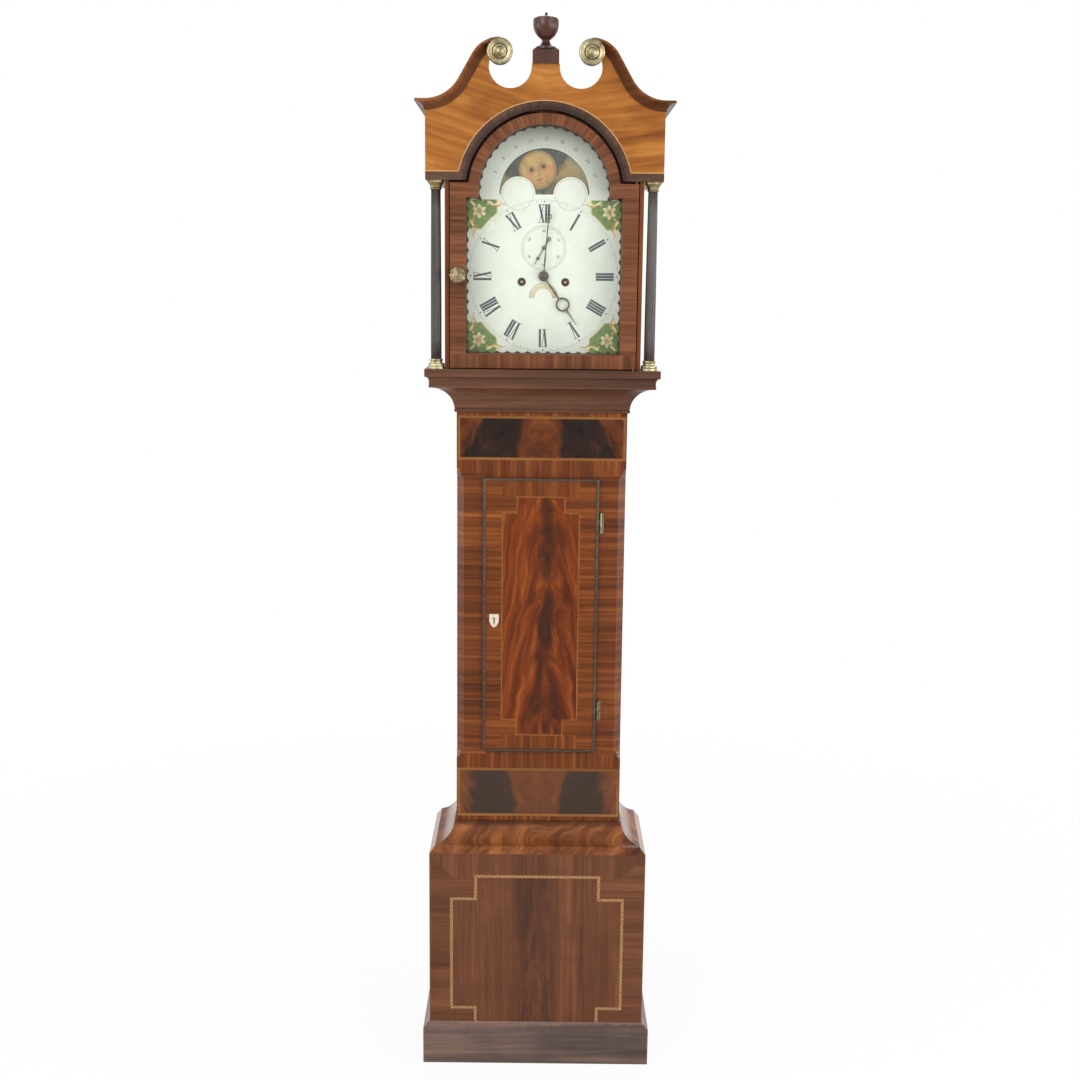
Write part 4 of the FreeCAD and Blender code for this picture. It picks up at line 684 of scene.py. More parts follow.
@dataclass(frozen=True)
class HoodDoorVeneer(Wood):
    """Hood door: short grain that stands square to the opening all the way round."""

    foot: float = 1.605

    def run(self, graph: Graph) -> tuple[Wire, Wire]:
        """Run the grain outward round the arch, level on the stiles and upright on the sill.

        Args:
            graph: the material's nodes.

        Returns:
            The places across and along the grain in metres.
        """
        x, y, z = graph.place()
        rise = z - ARCH_CENTRE
        above = rise > 0.0
        sill = z < self.foot
        side = (1.0 - above) * (1.0 - sill)
        turn = graph.math("ARCTAN2", x, graph.most(rise, 0.0005)) * 0.17
        across = above * turn + side * z + sill * x
        return across, above * graph.hypot(x, rise) + side * x + sill * z + y


@dataclass(frozen=True)
class Metal:
    """A metal with tarnish in soft clouds and fine scratches."""

    name: str
    clean: Rgb
    dull: Rgb
    roughness: float = 0.32
    clouds: float = 38.0
    metallic: float = 1.0
    tarnished_above: float = 0.0

    def material(self) -> bpy.types.Material:
        """Make the metal's material.

        Returns:
            The finished material.
        """
        graph = Graph.new(self.name)
        x, y, z = graph.place()
        cloud = graph.mottle(self.clouds)
        # Darker above this height.
        if self.tarnished_above:
            cloud = cloud - (z > self.tarnished_above) * 0.16
        scratch = graph.noise((x * 900.0, y * 900.0, z * 160.0), 2.0)
        colour = graph.ramp(cloud + (scratch - 0.5) * 0.2, (0.34, self.dull), (0.62, self.clean))
        gloss = self.roughness + (0.5 - cloud) * 0.3 + (scratch - 0.5) * 0.1
        return graph.close({"Base Color": colour, "Roughness": gloss, "Metallic": self.metallic},
                           cloud * 0.4 + scratch * 0.6, 0.00006)


@dataclass(frozen=True)
class RingedBrass(Metal):
    """Brass of the scroll rosettes, with dirt left in the rings between its beads."""

    middle: tuple[float, float] = (0.093, 2.212)
    rings: tuple[float, float] = (0.0148, 0.0086)
    dirt: Rgb = (44, 38, 24)

    def material(self) -> bpy.types.Material:
        """Make the rosettes' material.

        Returns:
            The finished material.
        """
        graph = Graph.new(self.name)
        x, y, z = graph.place()
        across = abs(x) - self.middle[0]
        rise = z - self.middle[1]
        radius = graph.hypot(across, rise)
        cloud = graph.mottle(self.clouds)
        groove = graph.least(abs(radius - self.rings[0]), abs(radius - self.rings[1]))
        soiled = graph.smooth(groove + (cloud - 0.5) * 0.001, 0.0019, 0.0004)
        colour = graph.ramp(cloud, (0.34, self.dull), (0.62, self.clean))
        colour = graph.blend(soiled * 0.9, colour, self.dirt)
        return graph.close({"Base Color": colour, "Roughness": self.roughness + soiled * 0.3,
                            "Metallic": 1.0 - soiled * 0.5}, cloud, 0.00005)


@dataclass(frozen=True)
class Paint:
    """A paint, gut or bone surface with faint mottling."""

    name: str
    base: Rgb
    stain: Rgb
    roughness: float = 0.42
    grains: float = 70.0

    def material(self) -> bpy.types.Material:
        """Make the painted material.

        Returns:
            The finished material.
        """
        graph = Graph.new(self.name)
        mottle = graph.mottle(self.grains)
        colour = graph.ramp(mottle, (0.35, self.stain), (0.55, self.base))
        rough = self.roughness + (mottle - 0.5) * 0.2
        return graph.close({"Base Color": colour, "Roughness": rough}, mottle, 0.00005)


@dataclass(frozen=True)
class DialPaint:
    """Cream dial paint with painted shade over the top and right of the arch, and green corner grounds edged in
    straw.
    """

    name: str = "dial_paint_cream"
    cream: Rgb = (228, 235, 221)
    aged: Rgb = (221, 229, 210)
    green: Rgb = (74, 112, 40)
    leaf: Rgb = (126, 152, 66)
    straw: Rgb = (200, 178, 106)
    soot: Rgb = (116, 120, 98)
    primer: Rgb = (92, 66, 52)
    primer_dark: Rgb = (70, 50, 40)
    ring: float = 0.1655
    corner: tuple[float, float] = (0.101, 0.099)
    square_head: float = 0.1585
    skin: float = 0.0004

    def material(self) -> bpy.types.Material:
        """Make the dial's material.

        Returns:
            The finished material.
        """
        graph = Graph.new(self.name)
        x, y, z = graph.place()
        rise = z - DIAL_CENTRE
        radius = graph.hypot(x, rise)
        haze = graph.noise((x * 26.0, 0.0, z * 26.0), 3.0)
        colour = graph.ramp(haze, (0.35, self.aged), (0.6, self.cream))
        brush = graph.noise((x * 120.0, 0.0, z * 120.0), 3.0, 0.6)
        ground = graph.ramp(brush, (0.35, self.green), (0.66, self.leaf))
        corner = graph.least(abs(x) - self.corner[0], abs(rise) - self.corner[1])
        reach = graph.least(corner, radius - self.ring) + (brush - 0.5) * 0.004
        inside = rise < self.square_head
        colour = graph.blend(inside * graph.smooth(reach, -0.0035, -0.0015) * 0.85, colour, self.straw)
        colour = graph.blend(inside * graph.smooth(reach, -0.0008, 0.0006), colour, ground)
        # Painted shade: the top and right of the arch are darkened towards its rim.
        over = z - ARCH_CENTRE
        out = graph.hypot(x, over)
        high = graph.smooth(over, -0.02, 0.02) * graph.smooth(over + x * 0.6, -0.01, 0.13)
        colour = graph.blend(graph.smooth(out, 0.06, 0.14) * high * 0.5, colour, self.soot)
        back = graph.ramp(brush, (0.3, self.primer_dark), (0.7, self.primer))
        colour = graph.blend(y > DIAL_FACE + self.skin, colour, back)
        return graph.close({"Base Color": colour, "Roughness": 0.34 + (brush - 0.5) * 0.12, "Coat Weight": 0.2},
                           brush, 0.00004)


@dataclass(frozen=True)
class MoonPaint:
    """The moon disc: two round faces in a night sky, and two plain hilly landscapes between them."""

    name: str = "moon_paint"
    turn: float = math.radians(16.0)
    orbit: float = 0.0525
    radius: float = 0.0400

    def spot(self, graph: Graph, u: Wire, v: Wire, middle: tuple[float, float], size: tuple[float, float],
             soft: float) -> Wire:
        """Mask an oval in the face's own coordinates.

        Args:
            graph: the material's nodes.
            u: place to the right, in face radii.
            v: place upwards, in face radii.
            middle: the oval's middle.
            size: its half width and half height.
            soft: how far its edge fades, as a share of the size.

        Returns:
            1 inside the oval and 0 outside.
        """
        across = (u - middle[0]) / size[0]
        up = (v - middle[1]) / size[1]
        return graph.smooth(across * across + up * up, 1.0 + soft, 1.0 - soft)

    def material(self) -> bpy.types.Material:
        """Make the disc's material; the second half of the disc repeats the first, turned half round.

        Returns:
            The finished material.
        """
        graph = Graph.new(self.name)
        x, _, z = graph.place()
        rise = z - ARCH_CENTRE
        cosine = math.cos(self.turn)
        sine = math.sin(self.turn)
        right = x * cosine + rise * sine
        up = rise * cosine - x * sine
        half = (up > 0.0) * 2.0 - 1.0
        u = right * half / self.radius
        v = (up * half - self.orbit) / self.radius
        haze = graph.noise((x * 60.0, 3.0, z * 60.0), 4.0, 0.6)
        angle = abs(graph.math("ARCTAN2", right * half, up * half))
        radius = graph.hypot(x, rise)
        land = graph.ramp(radius * 9.0 + (haze - 0.5) * 0.6, (0.25, (96, 90, 52)), (0.5, (142, 120, 66)),
                          (0.72, (160, 138, 84)), (0.9, (124, 128, 100)))
        sky = graph.ramp(haze, (0.3, (38, 38, 32)), (0.7, (78, 80, 66)))
        colour = graph.blend(graph.smooth(angle + (haze - 0.5) * 0.3, 0.74, 0.96), sky, land)
        face = graph.ramp(haze + v * 0.12, (0.25, (150, 116, 58)), (0.6, (190, 158, 92)), (0.9, (206, 178, 116)))
        face = graph.blend(self.spot(graph, u, v, (0.60, -0.24), (0.34, 0.32), 0.9) * 0.55, face, (206, 124, 84))
        face = graph.blend(self.spot(graph, u, v, (-0.56, -0.30), (0.30, 0.30), 0.9) * 0.45, face, (206, 128, 86))
        pair = abs(u - 0.02)
        socket = self.spot(graph, pair, v, (0.34, 0.12), (0.25, 0.21), 0.9)
        eye = self.spot(graph, pair, v, (0.33, 0.09), (0.13, 0.12), 0.5)
        pupil = self.spot(graph, pair, v, (0.33, 0.09), (0.065, 0.075), 0.4)
        nose = graph.most(self.spot(graph, u, v, (0.09, -0.10), (0.05, 0.22), 0.9),
                          self.spot(graph, u, v, (0.02, -0.27), (0.13, 0.06), 0.8))
        smile = v - u * u * 0.9
        mouth = self.spot(graph, u, smile, (0.02, -0.52), (0.18, 0.055), 0.6)
        chin = self.spot(graph, u, v, (0.02, -0.68), (0.16, 0.05), 0.9)
        face = graph.blend(socket * 0.45, face, (126, 88, 44))
        face = graph.blend(eye * 0.7, face, (84, 56, 32))
        face = graph.blend(pupil * 0.9, face, (40, 30, 24))
        face = graph.blend(graph.most(nose, chin) * 0.5, face, (142, 100, 52))
        face = graph.blend(mouth * 0.8, face, (146, 72, 48))
        edge = graph.smooth(u * u + v * v, 0.50, 1.0)
        face = graph.blend(edge * 0.6, face, (112, 82, 42))
        colour = graph.blend(graph.smooth(u * u + v * v, 1.03, 0.97), colour, face)
        return graph.close({"Base Color": colour, "Roughness": 0.4 + (haze - 0.5) * 0.1}, haze, 0.00004)


@dataclass(frozen=True)
class ChequerInlay:
    """A band of small light and dark blocks laid slantwise; u runs along the band in metres, v across it."""

    name: str = "chequer_inlay"
    block: float = 0.0088
    light: Rgb = (178, 135, 86)
    dark: Rgb = (82, 50, 32)

    def material(self) -> bpy.types.Material:
        """Make the inlay's material.

        Returns:
            The finished material.
        """
        graph = Graph.new(self.name)
        u, v, _ = graph.place("UV")
        x, _, z = graph.place()
        phase = graph.math("FRACT", u / self.block + v)
        mark = graph.smooth(phase, 0.56, 0.64) * graph.smooth(phase, 0.99, 0.91) * 0.8
        edge = graph.smooth(abs(v - 0.5), 0.36, 0.42) * 0.8
        tone = graph.noise((x * 160.0, 0.0, z * 160.0), 3.0)
        light = graph.ramp(tone, (0.3, (150, 106, 58)), (0.7, self.light))
        colour = graph.blend(graph.most(mark, edge), light, self.dark)
        return graph.close({"Base Color": colour, "Roughness": 0.38 + (tone - 0.5) * 0.2}, tone, 0.00005)


@dataclass(frozen=True)
class Planks:
    """Old pine boards with upright grain, patches of darker stain and open joints between the boards."""

    name: str = "pine_boards"
    board: float = 0.155

    def material(self) -> bpy.types.Material:
        """Make the boards' material.

        Returns:
            The finished material.
        """
        graph = Graph.new(self.name)
        x, y, z = graph.place()
        board = graph.math("FLOOR", x / self.board + 0.5)
        broad = graph.noise((x * 22.0 + y * 22.0, board * 7.0, z * 1.3), 2.0)
        ring = graph.noise(((x + y) * 190.0 + broad * 9.0, board * 7.0, z * 2.2), 3.0, 0.6)
        stain = graph.mottle(5.0, 3.0, 0.55)
        colour = graph.ramp(ring * 0.7 + broad * 0.3, (0.3, (96, 66, 40)), (0.52, (138, 98, 60)),
                            (0.75, (168, 126, 82)))
        colour = graph.blend(graph.smooth(stain, 0.45, 0.75) * 0.5, colour, (78, 56, 40))
        joint = graph.smooth(abs(graph.math("FRACT", x / self.board + 0.5) - 0.5), 0.487, 0.495)
        colour = graph.blend(joint, colour, (22, 16, 12))
        rough = 0.72 + (ring - 0.5) * 0.2
        return graph.close({"Base Color": colour, "Roughness": rough}, ring * 0.5 - joint, 0.0006)


class Finishes:
    """Every finish of the clock, each made once and handed out by name."""

    def __init__(self) -> None:
        """List the finishes."""
        red = ((68, 34, 14), (102, 54, 25), (132, 74, 36))
        listed = [
            Wood("mahogany_upright", *red, grain=Grain.UPRIGHT),
            Wood("mahogany_level", *red, grain=Grain.LEVEL, streaks=160.0),
            Wood("cornice_mahogany", (60, 36, 22), (92, 58, 39), (122, 80, 56), roughness=0.30, gloss=0.24),
            Wood("hood_base_mahogany", (52, 31, 19), (80, 50, 34), (110, 72, 50), roughness=0.30, gloss=0.24),
            CoveFlame("cove_flame", (60, 30, 15), (110, 62, 33), (162, 98, 54), side_polish=1.0),
            # The plinth's top rim is lightened as wear and a painted highlight.
            Wood("plinth_wood", (64, 51, 47), (98, 81, 75), (140, 110, 94), streaks=90.0, waves=14.0, contrast=1.9,
                 roughness=0.40, clouds=0.4, side_polish=0.8, corner=(0.2557, -0.126), rim=0.0955),
            Wood("golden_veneer", (112, 60, 22), (158, 97, 38), (188, 126, 60), grain=Grain.SLANTED, streaks=70.0,
                 waves=20.0, contrast=2.7, clouds=0.6),
            Wood("swan_neck_moulding", (64, 35, 18), (110, 65, 35), (150, 96, 56), grain=Grain.SLANTED,
                 roughness=0.30, gloss=0.08, clouds=0.3, recess=(-0.1185, -0.1085)),
            ArchMoulding("arch_moulding_dark", (34, 20, 14), (74, 50, 36), (100, 72, 54), grain=Grain.ROUND_ARCH,
                         gloss=0.24),
            Wood("turned_finial", (50, 26, 17), (70, 39, 27), (90, 54, 38), grain=Grain.UPRIGHT, streaks=60.0,
                 contrast=1.2, roughness=0.28, gloss=0.34, polish=0.06, open_pores=0.05),
            Wood("ebonised_column", (44, 39, 37), (68, 61, 58), (96, 88, 84), grain=Grain.UPRIGHT, roughness=0.30,
                 gloss=0.3),
            Wood("mask_wood", (46, 28, 19), (74, 46, 32), (98, 64, 46), grain=Grain.UPRIGHT),
            Wood("door_bead", (36, 23, 16), (60, 41, 29), (98, 73, 54), roughness=0.26, gloss=0.4, polish=0.25),
            Wood("frieze_banding", (96, 58, 26), (128, 82, 40), (160, 110, 60), streaks=300.0),
            Wood("door_line", (106, 59, 24), (132, 80, 35), (156, 102, 52), streaks=300.0),
            Wood("boxwood_line", (160, 116, 64), (196, 152, 98), (214, 176, 124), streaks=300.0),
            TrunkVeneer("trunk_crossbanding", (62, 29, 10), (102, 51, 20), (146, 82, 38), streaks=150.0, waves=44.0,
                        contrast=2.1),
            DoorVeneer("door_flame", (62, 30, 9), (105, 53, 18), (148, 82, 36), streaks=150.0, waves=44.0,
                       contrast=2.2),
            BaseVeneer("base_panel_veneer", (68, 39, 24), (101, 60, 39), (132, 82, 55), streaks=120.0, waves=20.0,
                       contrast=1.6, clouds=0.25, corner=(0.2417, -0.112)),
            HoodDoorVeneer("hood_door_crossbanding", (66, 36, 20), (106, 63, 39), (144, 89, 57), streaks=150.0,
                           waves=44.0, contrast=2.0),
            Planks(),
            Planks("pine_inside", 4.0),
            Metal("antique_brass", (202, 196, 166), (134, 120, 82), 0.44, 90.0, tarnished_above=1.8),
            Metal("knob_brass", (150, 137, 106), (84, 74, 50), 0.38, 90.0),
            RingedBrass("rosette_brass", (172, 160, 126), (104, 93, 64), 0.38, 90.0),
            Metal("movement_brass", (206, 176, 104), (160, 130, 74), 0.26),
            Metal("dark_brass", (150, 124, 76), (82, 64, 40), 0.38),
            Metal("hand_metal", (112, 104, 80), (56, 51, 44), 0.34, 120.0),
            Metal("blued_cap", (84, 84, 90), (48, 48, 54), 0.28, 120.0),
            Metal("polished_steel", (150, 150, 150), (96, 96, 98), 0.3),
            Metal("black_iron", (78, 74, 72), (48, 44, 42), 0.55, 60.0, 0.6),
            Paint("bone_white", (212, 202, 184), (182, 168, 144), 0.4, 240.0),
            Paint("numeral_paint", (58, 63, 64), (84, 90, 90), 0.5, 160.0),
            Paint("line_paint", (120, 126, 120), (160, 164, 152), 0.5, 200.0),
            Paint("petal_paint", (240, 226, 176), (220, 190, 110), 0.45, 160.0),
            Paint("scroll_gilding", (208, 172, 92), (164, 122, 54), 0.4, 160.0),
            Paint("date_paint", (238, 230, 192), (220, 206, 150), 0.45, 60.0),
            Paint("gut_line", (186, 150, 96), (140, 104, 60), 0.45, 300.0),
            DialPaint(),
            MoonPaint(),
            ChequerInlay(),
        ]
        self.made = {finish.name: finish.material() for finish in listed}
        self.made["window_glass"] = self.glass()

    @staticmethod
    def glass() -> bpy.types.Material:
        """Make thin clear glass that shows the dial and a faint gloss.

        Returns:
            The finished material.
        """
        graph = Graph.new("window_glass")
        x, _, z = graph.place()
        ripple = graph.noise((x * 9.0, 0.0, z * 9.0), 2.0)
        return graph.close({"Base Color": linear((240, 246, 244)), "Alpha": 0.025 + (ripple - 0.5) * 0.01,
                            "Roughness": 0.03}, ripple, 0.0002)

    def __getitem__(self, name: str) -> bpy.types.Material:
        """Give a finish by name."""
        return self.made[name]

    def dress(self, pairs: dict[str, str]) -> None:
        """Give CAD nodes their finishes.

        Args:
            pairs: finish name by node name.
        """
        for node, finish in pairs.items():
            for slot in bpy.data.objects[node].material_slots:
                slot.material = self.made[finish]
            LOG.info("dressed %s in %s", node, finish)


class Axis(Enum):
    """The way the axis of a turned piece points."""

    UPRIGHT = "z"
    FORWARD = "y"


@dataclass(frozen=True)
class Fit:
    """A new piece's finish, the body it moves with (None where it rides on no body) and its record slot."""

    finish: str
    body: Optional[str]
    slot: str


def read(items: bpy.types.bpy_prop_collection, key: str, kind: type = int, width: int = 1) -> Array:
    """Read one property of all the vertices, corners or faces of a mesh.

    Args:
        items: the mesh's vertices, loops or polygons.
        key: the property's name.
        kind: the type of its numbers.
        width: how many numbers it has.

    Returns:
        One number to an item, or one row where the width is over 1.
    """
    values = np.zeros(len(items) * width, kind)
    items.foreach_get(key, values)
    return values.reshape(-1, width) if width > 1 else values


@dataclass
class Shaper:
    """Turns arrays of points into finished pieces that ride on the clock's bodies."""

    finishes: Finishes
    bevel: float = 0.0003
    under: float = 0.0002
    buried: float = 0.0001
    across: tuple[float, ...] = (0.0, 0.05, 0.1, 0.9, 0.95, 1.0)
    letter_half_depth: float = 0.00006
    letter_lift: float = 0.00005

    def piece(self, name: str, points: Array, faces: list, fit: Fit, smooth: bool = False) -> bpy.types.Object:
        """Make an object from points and faces and let it ride.

        Args:
            name: the piece's name.
            points: places in metres, along the last axis.
            faces: rows of point numbers.
            fit: its finish, body and slot.
            smooth: whether its faces shade as one curved surface.

        Returns:
            The object.
        """
        mesh = bpy.data.meshes.new(name)
        mesh.from_pydata(points.reshape(-1, 3).tolist(), [], faces)
        shell = bmesh.new()
        shell.from_mesh(mesh)
        bmesh.ops.recalc_face_normals(shell, faces=shell.faces)
        shell.to_mesh(mesh)
        shell.free()
        mesh.polygons.foreach_set("use_smooth", np.full(len(mesh.polygons), smooth))
        mesh.materials.append(self.finishes[fit.finish])
        made = bpy.data.objects.new(name, mesh)
        bpy.context.scene.collection.objects.link(made)
        if fit.body is not None:
            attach(made, fit.body)
        LOG.info("piece %s: %d faces on %s", name, len(mesh.polygons), fit.body)
        return made

    @staticmethod
    def grid_faces(rows: int, columns: int, ring: bool, first: int = 0) -> list:
        """Join a grid of points into faces; its second parameter comes round.

        Args:
            rows: points along the first parameter.
            columns: points along the second parameter.
            ring: whether the last row joins the first.
            first: number of the grid's first point.

        Returns:
            Four-sided faces, and two end caps where the rows don't come round.
        """
        i, j = np.meshgrid(np.arange(rows if ring else rows - 1), np.arange(columns), indexing="ij")
        after = (i + 1) % rows
        beside = (j + 1) % columns
        quads = np.stack([i * columns + j, i * columns + beside, after * columns + beside, after * columns + j], -1)
        faces = (quads.reshape(-1, 4) + first).tolist()
        if not ring:
            faces.append((np.arange(columns) + first).tolist())
            faces.append((np.arange(columns)[::-1] + first + (rows - 1) * columns).tolist())
        return faces

    @staticmethod
    def mitres(path: Array, ring: bool) -> Array:
        """Give sideways directions of a flat path: the sum of both side normals over one plus their cosine.

        Args:
            path: points in the front plane, x and z.
            ring: whether the path closes.

        Returns:
            One vector to each point, longer at a corner so that a band keeps its width.
        """
        ahead = np.roll(path, -1, 0) - path
        if not ring:
            ahead[-1] = ahead[-2]
        ahead = ahead / np.linalg.norm(ahead, axis=1, keepdims=True)
        behind = np.roll(ahead, 1, 0)
        if not ring:
            behind[0] = ahead[0]
        total = np.stack([-ahead[:, 1] - behind[:, 1], ahead[:, 0] + behind[:, 0]], 1)
        return 2 * total / np.sum(total * total, 1, keepdims=True)

    def sweep(self, name: str, path: Array, offset: Array, rise: Array, face: float, fit: Fit,
              ring: bool = True) -> bpy.types.Object:
        """Carry a section along a path in the front plane.

        Each point of the surface is a path point, moved sideways by the section's offset along the mitre and
        forwards by the section's rise.

        Args:
            name: the piece's name.
            path: x and z of the path's points.
            offset: sideways places of the section's points, in one row or in a row for each path point.
            rise: how far each of them stands out.
            face: y of the surface that the piece lies on.
            fit: its finish, body and slot.
            ring: whether the path closes.

        Returns:
            The piece.
        """
        flat = path[:, None, :] + self.mitres(path, ring)[:, None, :] * offset[..., None]
        points = np.stack([flat[:, :, 0], np.broadcast_to(face - rise, flat.shape[:2]), flat[:, :, 1]], -1)
        return self.piece(name, points, self.grid_faces(len(path), len(rise), ring), fit)

    def band(self, name: str, path: Array, width: Union[float, Array], face: float, proud: float, fit: Fit,
             ring: bool = True) -> None:
        """Lay a flat bevelled band along a path in the front plane.

        Args:
            name: the piece's name.
            path: x and z of the middle of the band.
            width: its width, or the two side offsets for each path point.
            face: y of the surface it lies on.
            proud: how far it stands out.
            fit: its finish, body and slot.
            ring: whether the path closes.
        """
        sides = np.broadcast_to((-width / 2, width / 2), (len(path), 2)) if isinstance(width, float) else width
        left, right = sides.T
        bevel = min(proud, self.bevel)
        offset = np.stack([left, left, left + bevel, right - bevel, right, right], 1)
        rise = np.array([-self.under, proud - bevel, proud, proud, proud - bevel, -self.under])
        self.unroll(self.sweep(name, path, offset, rise, face, fit, ring).data, path, ring)

    def unroll(self, mesh: bpy.types.Mesh, path: Array, ring: bool) -> None:
        """Give a band a UV map: u is the length along the path in metres and v goes across from 0 to 1.

        Args:
            mesh: the band's mesh.
            path: the path it follows.
            ring: whether the path closes.
        """
        corner = read(mesh.loops, "vertex_index")
        place = read(mesh.vertices, "co", float, 3)[corner][:, [0, 2]]
        step = np.roll(path, -1, 0) - path
        long = np.linalg.norm(step, axis=1, keepdims=True)
        run = np.concatenate([[0.0], np.cumsum(long)])
        start = read(mesh.polygons, "loop_start")
        face = np.repeat(np.arange(len(start)), read(mesh.polygons, "loop_total"))
        row = corner // len(self.across)
        highest = np.maximum.reduceat(row, start)[face]
        lowest = np.minimum.reduceat(row, start)[face]
        last = len(path) - 1
        part = np.where(ring & (highest == last) & (lowest == 0), last, lowest)
        along = run[part] + np.sum((place - path[part]) * (step / long)[part], 1)
        across = np.array(self.across)[corner % len(self.across)]
        layer = mesh.uv_layers.new(name="run")
        layer.data.foreach_set("uv", np.stack([along, across], 1).ravel())

    def plates(self, name: str, outlines: Array, face: float, proud: float, fit: Fit) -> None:
        """Raise many flat outlines of the same number of corners from a surface.

        Args:
            name: the piece's name.
            outlines: x and z of the corners, as plates by corners by two.
            face: y of the surface.
            proud: how far the plates stand out.
            fit: their finish, body and slot.
        """
        count, corners, _ = outlines.shape
        depth = np.array([face + self.buried, face - proud])
        points = np.empty((count, 2, corners, 3))
        points[..., 0] = outlines[:, None, :, 0]
        points[..., 1] = depth[None, :, None]
        points[..., 2] = outlines[:, None, :, 1]
        first = np.arange(count)[:, None] * 2 * corners
        ring = np.arange(corners)
        front = (first + corners + ring).tolist()
        back = (first + ring[::-1]).tolist()
        beside = (ring + 1) % corners
        walls = np.stack([ring, beside, beside + corners, ring + corners], -1)
        walls = (walls[None] + first[:, :, None]).reshape(-1, 4).tolist()
        self.piece(name, points, front + back + walls, fit)

    def turned(self, name: str, centres: Array, axis: Axis, profile: Array, steps: int, fit: Fit,
               ripple: Optional[Callable[[Array, Array], Array]] = None) -> bpy.types.Object:
        """Turn a profile round an axis at one or more places.

        A surface point is its centre, plus the profile's height along the axis, plus the profile's radius times
        the ripple round it.

        Args:
            name: the piece's name.
            centres: places of the axis, one row each.
            axis: the way the axis points.
            profile: radius and height of each profile point, foot first, the ends on or near the axis.
            steps: points round.
            fit: its finish, body and slot.
            ripple: factor on the radius as a function of the angle and the profile's height.

        Returns:
            One object with all the turnings.
        """
        angle = np.linspace(0, 2 * np.pi, steps, endpoint=False)
        radius = np.repeat(profile[:, :1], steps, 1)
        height = np.repeat(profile[:, 1:], steps, 1)
        turn = np.repeat(angle[None], len(profile), 0)
        if ripple is not None:
            radius = radius * ripple(turn, height)
        side = [radius * np.cos(turn), radius * np.sin(turn)]
        shape = [side[0], side[1], height] if axis is Axis.UPRIGHT else [side[0], -height, side[1]]
        one = np.stack(shape, -1).reshape(-1, 3)
        points = centres[:, None, :] + one[None]
        faces: list = []
        for number in range(len(centres)):
            faces += self.grid_faces(len(profile), steps, False, number * len(one))
        return self.piece(name, points, faces, fit, True)

    def lettering(self, name: str, words: Sequence[str], spots: Array, turns: Array, size: float, face: float,
                  fit: Fit) -> None:
        """Set short words of numbers on a front surface, each turned about its own middle.

        Args:
            name: the piece's name.
            words: what each says.
            spots: x and z of each middle.
            turns: clockwise turn of each in radians.
            size: letter height in metres.
            face: y of the surface.
            fit: the finish, body and slot.
        """
        rows: list[Array] = []
        faces: list = []
        total = 0
        for word, spot, turn in zip(words, spots, turns):
            text = bpy.data.curves.new("word", "FONT")
            text.body = word
            text.size = size
            text.align_x = "CENTER"
            text.align_y = "CENTER"
            text.resolution_u = 2
            text.extrude = self.letter_half_depth
            holder = bpy.data.objects.new("word", text)
            flat = bpy.data.meshes.new_from_object(holder)
            right, up, out = read(flat.vertices, "co", float, 3).T
            x = right * np.cos(turn) + up * np.sin(turn) + spot[0]
            z = up * np.cos(turn) - right * np.sin(turn) + spot[1]
            rows.append(np.stack([x, face - self.letter_lift - out, z], 1))
            ends = np.cumsum(read(flat.polygons, "loop_total"))[:-1]
            faces += [part.tolist() for part in np.split(read(flat.loops, "vertex_index") + total, ends)]
            total += len(out)
            bpy.data.objects.remove(holder)
            bpy.data.curves.remove(text)
            bpy.data.meshes.remove(flat)
        self.piece(name, np.concatenate(rows), faces, fit)


def around(middle: tuple[float, float], radius: float, angle: Array) -> Array:
    """Give points on a circle in the front plane, at angles clockwise from its top."""
    return np.stack([middle[0] + radius * np.sin(angle), middle[1] + radius * np.cos(angle)], 1)


def circle(middle: tuple[float, float], radius: float, steps: int) -> Array:
    """Give points all round a circle in the front plane."""
    return around(middle, radius, np.linspace(0, 2 * np.pi, steps, endpoint=False))


def both_sides(x: float, y: float, z: float) -> Array:
    """Give a place on the left and its mirror image on the right."""
    return np.array([(-x, y, z), (x, y, z)])


def oblong(half: float, foot: float, head: float) -> Array:
    """Give the corners of an upright oblong in the front plane."""
    return np.array([(-half, foot), (half, foot), (half, head), (-half, head)])


def notched(inner: float, outer: float, levels: tuple[float, float, float, float]) -> Array:
    """Give the corners of an oblong with square notches, up its right side and down its left.

    Args:
        inner: half width at foot and head.
        outer: half width between the notches.
        levels: heights of the foot, of the two shoulders and of the head.

    Returns:
        x and z of twelve corners.
    """
    foot, low, high, head = levels
    right = np.array([(inner, foot), (inner, low), (outer, low), (outer, high), (inner, high), (inner, head)])
    return np.concatenate([right, right[::-1] * (-1, 1)])


def ovals(middles: Array, turns: Array, half_length: float, half_width: float, steps: int) -> Array:
    """Give the outlines of turned ovals.

    Args:
        middles: x and z of each.
        turns: clockwise turn of each length from upright.
        half_length: half the length.
        half_width: half the width.
        steps: corners of each outline.

    Returns:
        Outlines as ovals by corners by two.
    """
    angle = np.linspace(0, 2 * np.pi, steps, endpoint=False)
    side = half_width * np.cos(angle)
    up = half_length * np.sin(angle)
    x = middles[:, :1] + side * np.cos(turns)[:, None] + up * np.sin(turns)[:, None]
    z = middles[:, 1:] + up * np.cos(turns)[:, None] - side * np.sin(turns)[:, None]
    return np.stack([x, z], -1)


